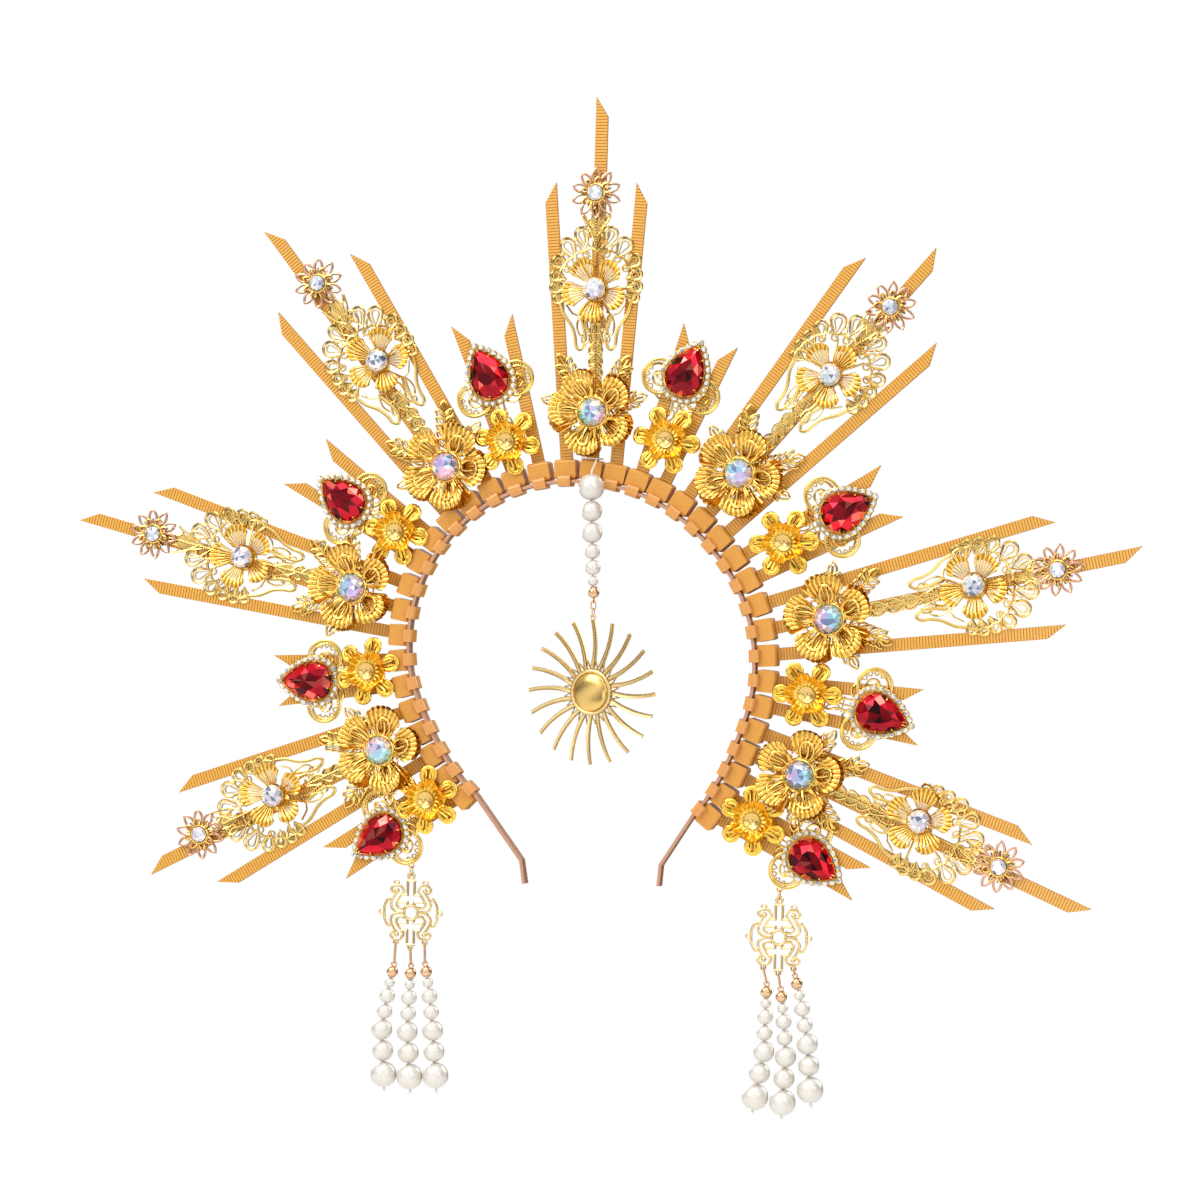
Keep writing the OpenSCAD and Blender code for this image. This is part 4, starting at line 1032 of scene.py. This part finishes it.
# satin dish in the cup's middle
dish = lathed([(0, 1.35), (1.0, 1.45), (1.9, 1.85), (2.7, 2.6), (3.1, 2.7), (3.3, 2.4), (3.2, 1.2),
               (0, 1.1)], 30)
for k, pear in enumerate(pears):
    place = (pear["daisy"], pear["heading"], flowerBack)
    parts = [shifted(turned(cup, 9 * k), front=lift), stem]
    for m in range(daisies["petals"]):
        # petals that point into the ring lie flat, the others lean back
        heading = 360 / daisies["petals"] * m
        fromOut = abs((pear["turn"] + heading + 540) % 360 - 180)
        lean = 0 if fromOut > daisies["flat"] else -daisies["tilt"]
        parts.append(turned(shifted(leaned(petal, lean), front=lift), heading))
    makePiece(f"daisy_{k + 1}_flower", placed(joined(parts), *place), brightGold, f"daisy_{k + 1}")
    centres.append(placed(shifted(dish, front=lift), *place))
makePiece("daisy_centres", joined(centres), satinGold)
print("daisies done")


# Drops: pearls drilled along their string, gold tips and links
drops = {"beadGap": 0.1, "bore": 0.7, "tip": 2.2, "eye": 0.95, "eyeWire": 0.3, "ring": 1.75, "linkWire": 0.25,
         "linkHalf": 0.9, "play": 0.15, "across": 4.4, "front": -11.9, "hang": -0.55,
         "centreWidths": [10, 8, 8, 6, 6, 4], "sideWidths": [4, 6, 6, 8, 8, 10]}
tip, eyeR, eyeWire, linkWire, play = (drops[key] for key in ("tip", "eye", "eyeWire", "linkWire", "play"))


def stackTo(widths, k):
    return sum((a + b) / 2 + drops["beadGap"] for a, b in zip(widths[:k], widths[1:k + 1]))


def drilledBead(width):
    # round bead with a dimple at each end of its bore, standing along the out axis
    radius, bore = width / 2, drops["bore"]
    start = math.asin(bore / radius)
    arc = [(radius * math.sin(a), radius * math.cos(a)) for a in np.linspace(start, math.pi - start, 15)]
    high, low = arc[0][1], arc[-1][1]
    profile = [(0, high - 0.8), (bore * 0.8, high - 0.5), *arc, (bore * 0.8, low + 0.5), (0, low + 0.8)]
    return standing(lathed(profile, 20), (0, 2, 1))


def ovalLink(length, turnedOut=False):
    half, reach = drops["linkHalf"], length / 2 - drops["linkHalf"]
    top = [(half * math.cos(a), reach + half * math.sin(a)) for a in np.linspace(0, math.pi, 10)]
    shape = wire([*top, *[(-across, -out) for across, out in top]], linkWire, linkWire, 8, True)
    return standing(shape) if turnedOut else shape


def drawTip(side, edgeOn):
    loop = ringWire(eyeR, eyeWire, eyeWire, 8, 20)
    loop = shifted(standing(loop) if edgeOn else loop, out=side * (tip + eyeR - play))
    cap = standing(ringWire(1.15, 0.22, 0.22, 6, 20), (0, 2, 1))
    return joined([drilledBead(2 * tip), loop, shifted(cap, out=-side * (tip - 0.25))])


# centre drop
sun = {"reach": 27.5, "face": 8.8, "dome": 7.3, "rays": 20, "bow": 1.2, "yaw": 15, "grainPitch": 0.6,
       "grain": 0.3}
chainWidths = drops["centreWidths"] + [2 * tip]
centreSpots = [np.array([2.8 + 1.6 * k / 6, 65.6 - stackTo(chainWidths, k)]) for k in range(7)]
makePiece("drop_pearls_drilled", joined([placed(drilledBead(width), spot, 0, drops["front"])
                                         for width, spot in zip(drops["centreWidths"], centreSpots)]), pearl,
          "drop_pearls", slot="pearl")
linkTop = centreSpots[6][1] - tip - 2 * eyeR + eyeWire + linkWire + 2 * play
linkLow = linkTop - 3.4
nextTop = linkLow + 2 * linkWire + play
nextLow = nextTop - 3.2
sunMiddle = nextLow + linkWire + eyeWire + 2 * play - 2 * eyeR - sun["reach"]
chain = [placed(drawTip(-1, True), centreSpots[6], 0, drops["front"]),
         placed(ovalLink(3.4), (drops["across"], (linkTop + linkLow) / 2), 0, drops["front"]),
         placed(ovalLink(3.2, True), (drops["across"], (nextTop + nextLow) / 2), 0, drops["front"], 15)]
makePiece("drop_chain_links", joined(chain), roseGold, "drop_chain")

# sun: bowed channel rays, grained edges, polished rim and satin dome
sunPlace = ((drops["across"], sunMiddle), 0, drops["front"], sun["yaw"])


def sunRay(start, end, across):
    u = np.linspace(0, 1, 14)
    return np.column_stack([4 * sun["bow"] * u * (1 - u) + across * (1 - 0.35 * u), start + (end - start) * u])


sunParts, sunGrains = [], []
taper = np.linspace(1, 0.8, 14)
point = np.array([(-1.1, 8.4, 0), (0, 12.1, 0.1), (1.1, 8.4, 0)])
pointGrains = np.array([(-0.9, 9, 0.3), (0, 11.7, 0.35), (0.9, 9, 0.3)])
for heading in np.arange(sun["rays"]) * 360 / sun["rays"]:
    for across, half, rise, sides in ((0.0, 1.05, 0.32, 6), (0.25, 0.66, 0.68, 3), (-0.75, 0.3, 0.45, 5)):
        ray = sunRay(sun["face"] - 1, sun["reach"] - 0.1, across)
        sunParts.append(turned(wire(ray, half * taper, rise * taper, sides), heading))
    between = heading + 180 / sun["rays"]
    sunParts.append(turned(wire(point, 0.36, 0.3, 5), between))
    grains = [spun(lifted(sunRay(sun["face"], 26.9, -0.62), 0.45), heading), spun(pointGrains, between)]
    sunGrains += [placed((line, []), *sunPlace)[0] for line in grains]
sunParts += [lathed([(0, 0.75), (7.2, 0.75), (7.5, 1.4), (8.05, 1.6), (8.6, 1.4), (8.8, 0.9), (8.8, -0.45),
                     (8.4, -0.6), (0, -0.6)], 64),
             shifted(ringWire(eyeR, eyeWire, eyeWire, 8, 20), out=sun["reach"] + eyeR - play)]
makePiece("sun_rays", placed(joined(sunParts), *sunPlace), brass, "sun_pendant", body="sun")
domeArc = [(sun["dome"] * math.sin(a), 0.8 + 2 * math.cos(a)) for a in np.radians(np.arange(8, 89, 8))]
domeLine = [(0, 2.8), *domeArc, (sun["dome"] - 0.05, 0.6), (0, 0.5)]
makePiece("sun_dome", placed(lathed(domeLine, 56), *sunPlace), satinGold, body="sun")
growBeads("sun_grains", sunGrains, grainBrass, sun["grainPitch"], sun["grain"], "sun")
print("centre drop done")

# end drops: openwork connector, jump ring, links, tips and three pearl strings each
connector = {"wide": 0.54, "tall": 0.5, "reach": 14.1}
# wires of one quarter
connectorWires = [
    (7, curved([(2.6, 1.9), (4.6, 1.7), (5.8, 3.4), (4.7, 5.7), (2.9, 8.2), (4.2, 10.2), (6.8, 10.2), (8, 8.6),
                (6.7, 7.6), (5.6, 8.4)])),
    (7, curved([(3.2, 0), (6.6, 0.6), (8, 3), (7, 5.8), (5.4, 8)])),
    (7, curved([(7.8, 4.6), (9, 5.2), (10.4, 2.6), (10.7, 0)])),
    (6, [(1.35, 6.8), (3.75, 6.8)]), (6, [(1.35, 4), (4.95, 4)]), (6, [(1.35, 2.6), (1.35, 4.4)]),
    (6, [(1.35, 6.4), (1.35, 12.7)])]
lowEyes = [(-5.8, -11.5), (0, -13.4), (5.8, -11.5)]
# tip's place, then across of the fourth and sixth pearl
strings = {"left": [(-7, -22.9, -10.8, -9.8), (0.3, -23.3, -0.6, 0.6), (6.6, -22.4, 9.6, 11)],
           "right": [(-4.4, -20.6, -5, -8), (1.4, -22.2, 3.4, 2.5), (7.2, -17, 11.6, 13)]}
ringDropBy = drops["ring"] - eyeWire - linkWire - play
connectorDrop = ringDropBy + drops["ring"] - linkWire - 0.22 + 0.65
stringWidths = [2 * tip] + drops["sideWidths"]


def stringBead(string, k):
    return np.array([np.interp(k, (0, 4, 6), (string[0], *string[2:])), string[1] - stackTo(stringWidths, k)])


def stringWay(string, k):
    step = stringBead(string, max(k - 1, 0)) - stringBead(string, min(k + 1, 6))
    return math.degrees(math.atan2(*step))


def drawConnector():
    wide, tall = connector["wide"], connector["tall"]
    ball = lathed([(0, 0.75), (0.6, 0.65), (0.95, 0.3), (0.95, -0.3), (0.6, -0.5), (0, -0.5)], 14)
    parts = [ringWire(2.75, 0.55, 0.6, 8, 32), ringWire(1.15, 0.5, 0.5, 8, 24, 0, 0, connector["reach"])]
    parts += [ringWire(0.92, 0.33, 0.45, 7, 18, 0, *eye) for eye in lowEyes]
    for x in (1, -1):
        for z in (1, -1):
            parts += [wire(np.asarray(line) * (x, z), wide, tall, sides) for sides, line in connectorWires]
            parts.append(shifted(ball, 5.6 * x, 8.4 * z))
        parts += [wire([(-1.8, 12.25 * x), (1.8, 12.25 * x)], wide, tall, 6),
                  ringWire(0.9, 0.35, 0.42, 6, 16, 0, 5.8 * x, 11.4),
                  ringWire(0.95, 0.35, 0.42, 6, 16, 0, 11.6 * x, 0)]
    return joined(parts)


for label, pear, side in (("left", pears[0], -1), ("right", pears[-1], 1)):
    body = f"{label}_drop"
    hang = dropEye(pear, side) - (0, eyeR)
    middle = hang - (0, connectorDrop + connector["reach"])
    makePiece(f"{label}_connector_scrolls", placed(drawConnector(), middle, 0, drops["hang"]), brass,
              f"{label}_connector", body=body)
    findings = [placed(standing(ringWire(drops["ring"], linkWire, linkWire, 8, 28)), hang - (0, ringDropBy), 0,
                       drops["hang"])]
    pearls = []
    for string, low in zip(strings[label], lowEyes):
        foot, up = stringBead(string, 0), stringWay(string, 0)
        end = foot + towards(tip + 2 * eyeR - eyeWire - linkWire - 2 * play, up)
        step = low - end
        findings += [placed(drawTip(1, False), middle + foot, up, drops["hang"]),
                     placed(ovalLink(float(np.hypot(*step)), True), middle + (low + end) / 2,
                            math.degrees(math.atan2(*step)), drops["hang"])]
        for k, width in enumerate(drops["sideWidths"], 1):
            pearls.append(placed(drilledBead(width), middle + stringBead(string, k), stringWay(string, k),
                                 drops["hang"]))
    makePiece(f"{label}_findings_links", joined(findings), roseGold, f"{label}_findings", body=body)
    makePiece(f"{label}_pearls_drilled", joined(pearls), pearl, f"{label}_pearls", body=body, slot="pearl")
paint(threadWhite, "drop_thread", "left_threads", "right_threads")
print("end drops done")


# Stage: pale floor, soft lights, white to the camera and grey to the metal
stage = {"floor": -0.36, "aim": (0.004, 0, -0.0428), "distance": 1.5, "lens": 118.1, "sensor": 36, "turn": 14,
         "roll": 1}
# soft boxes and dark flags, in bands from low right to high left: place and brightness
bands = [(0.0, 0.5), (0.2, 0.8), (0.32, 0.15), (0.44, 0.1), (0.5, 0.4), (0.58, 0.6), (0.66, 1.3), (0.74, 1.1),
         (0.8, 0.15), (0.88, 0.7), (1.0, 1.2)]
# name, place, size, power
lamps = [("key", (-0.75, -1.05, 0.85), 0.9, 11), ("fill", (1.0, -1.0, 0.35), 0.9, 4),
         ("top", (0.1, -0.4, 1.2), 0.9, 7), ("low", (0.2, -1.3, -0.25), 0.5, 1.4),
         ("back left", (-0.8, 1.0, 0.3), 0.9, 9), ("back right", (0.9, 0.95, 0.5), 0.9, 9)]


def makeWorld():
    world = bpy.data.worlds.new("studio")
    bpy.context.scene.world = world
    world.use_nodes = True
    tree = world.node_tree
    tree.nodes.clear()
    place = node(tree, "ShaderNodeTexCoord", -6)["Object"]
    depth = node(tree, "ShaderNodeSeparateXYZ", -4, {0: place})["Y"]
    shade = ranged(tree, -3, depth, -0.75, 0.35, 1.0, 0.5)
    slope = node(tree, "ShaderNodeVectorMath", -5, {0: place, 1: (-0.3, 0.0, 0.4)}, operation="DOT_PRODUCT")
    centred = node(tree, "ShaderNodeMath", -4, {0: slope["Value"], 1: 0.5}, operation="ADD")[0]
    ramp = node(tree, "ShaderNodeValToRGB", -3, {0: centred})["Color"]
    stops = ramp.node.color_ramp.elements
    for number, (spot, value) in enumerate(bands):
        stop = stops[number] if number < 2 else stops.new(spot)
        stop.position, stop.color = spot, (value, value, value, 1)
    strength = node(tree, "ShaderNodeMath", -2, {0: shade, 1: ramp}, operation="MULTIPLY")[0]
    grey = node(tree, "ShaderNodeBackground", -1, {"Color": (0.97, 0.98, 1.0, 1), "Strength": strength})[0]
    white = node(tree, "ShaderNodeBackground", -1, {"Color": (1, 1, 1, 1)})[0]
    sight = node(tree, "ShaderNodeLightPath", -2)["Is Camera Ray"]
    mix = node(tree, "ShaderNodeMixShader", 0, {0: sight, 1: grey, 2: white})[0]
    node(tree, "ShaderNodeOutputWorld", 1, {"Surface": mix})


def makeStage():
    corners = [(-0.9, -0.7), (0.9, -0.7), (0.9, 0.4), (-0.9, 0.4)]
    floorShape = (lifted(corners, stage["floor"]), [(0, 1, 2, 3)])
    floorMatt = makeFinish("pale floor", (0.9, 0.9, 0.89), (0.86, 0.86, 0.85), None, 0.6, 0.8, 0.0, 3, 0.05)
    makeObject("floor", floorShape, floorMatt)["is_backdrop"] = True
    makeWorld()
    for label, place, size, power in lamps:
        light = bpy.data.lights.new(label, "AREA")
        light.shape = "SQUARE"
        light.size = size
        light.energy = power
        lamp = bpy.data.objects.new(label, light)
        lamp.location = place
        lamp.rotation_euler = (Vector((0, 0, -0.05)) - Vector(place)).to_track_quat("-Z", "Y").to_euler()
        bpy.context.scene.collection.objects.link(lamp)


def makeCamera():
    lens = bpy.data.cameras.new("camera")
    lens.lens, lens.sensor_width = stage["lens"], stage["sensor"]
    camera = bpy.data.objects.new("camera", lens)
    bpy.context.scene.collection.objects.link(camera)
    side = math.radians(stage["turn"])
    away = Vector((math.sin(side), -math.cos(side), 0))
    turn = (-away).to_track_quat("-Z", "Y").to_matrix() @ Matrix.Rotation(math.radians(stage["roll"]), 3, "Z")
    camera.matrix_world = Matrix.Translation(Vector(stage["aim"]) + stage["distance"] * away) @ turn.to_4x4()
    bpy.context.scene.camera = camera


makeStage()
makeCamera()
bpy.context.scene.view_settings.view_transform = "Standard"
low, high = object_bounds()
print("stage and camera set")
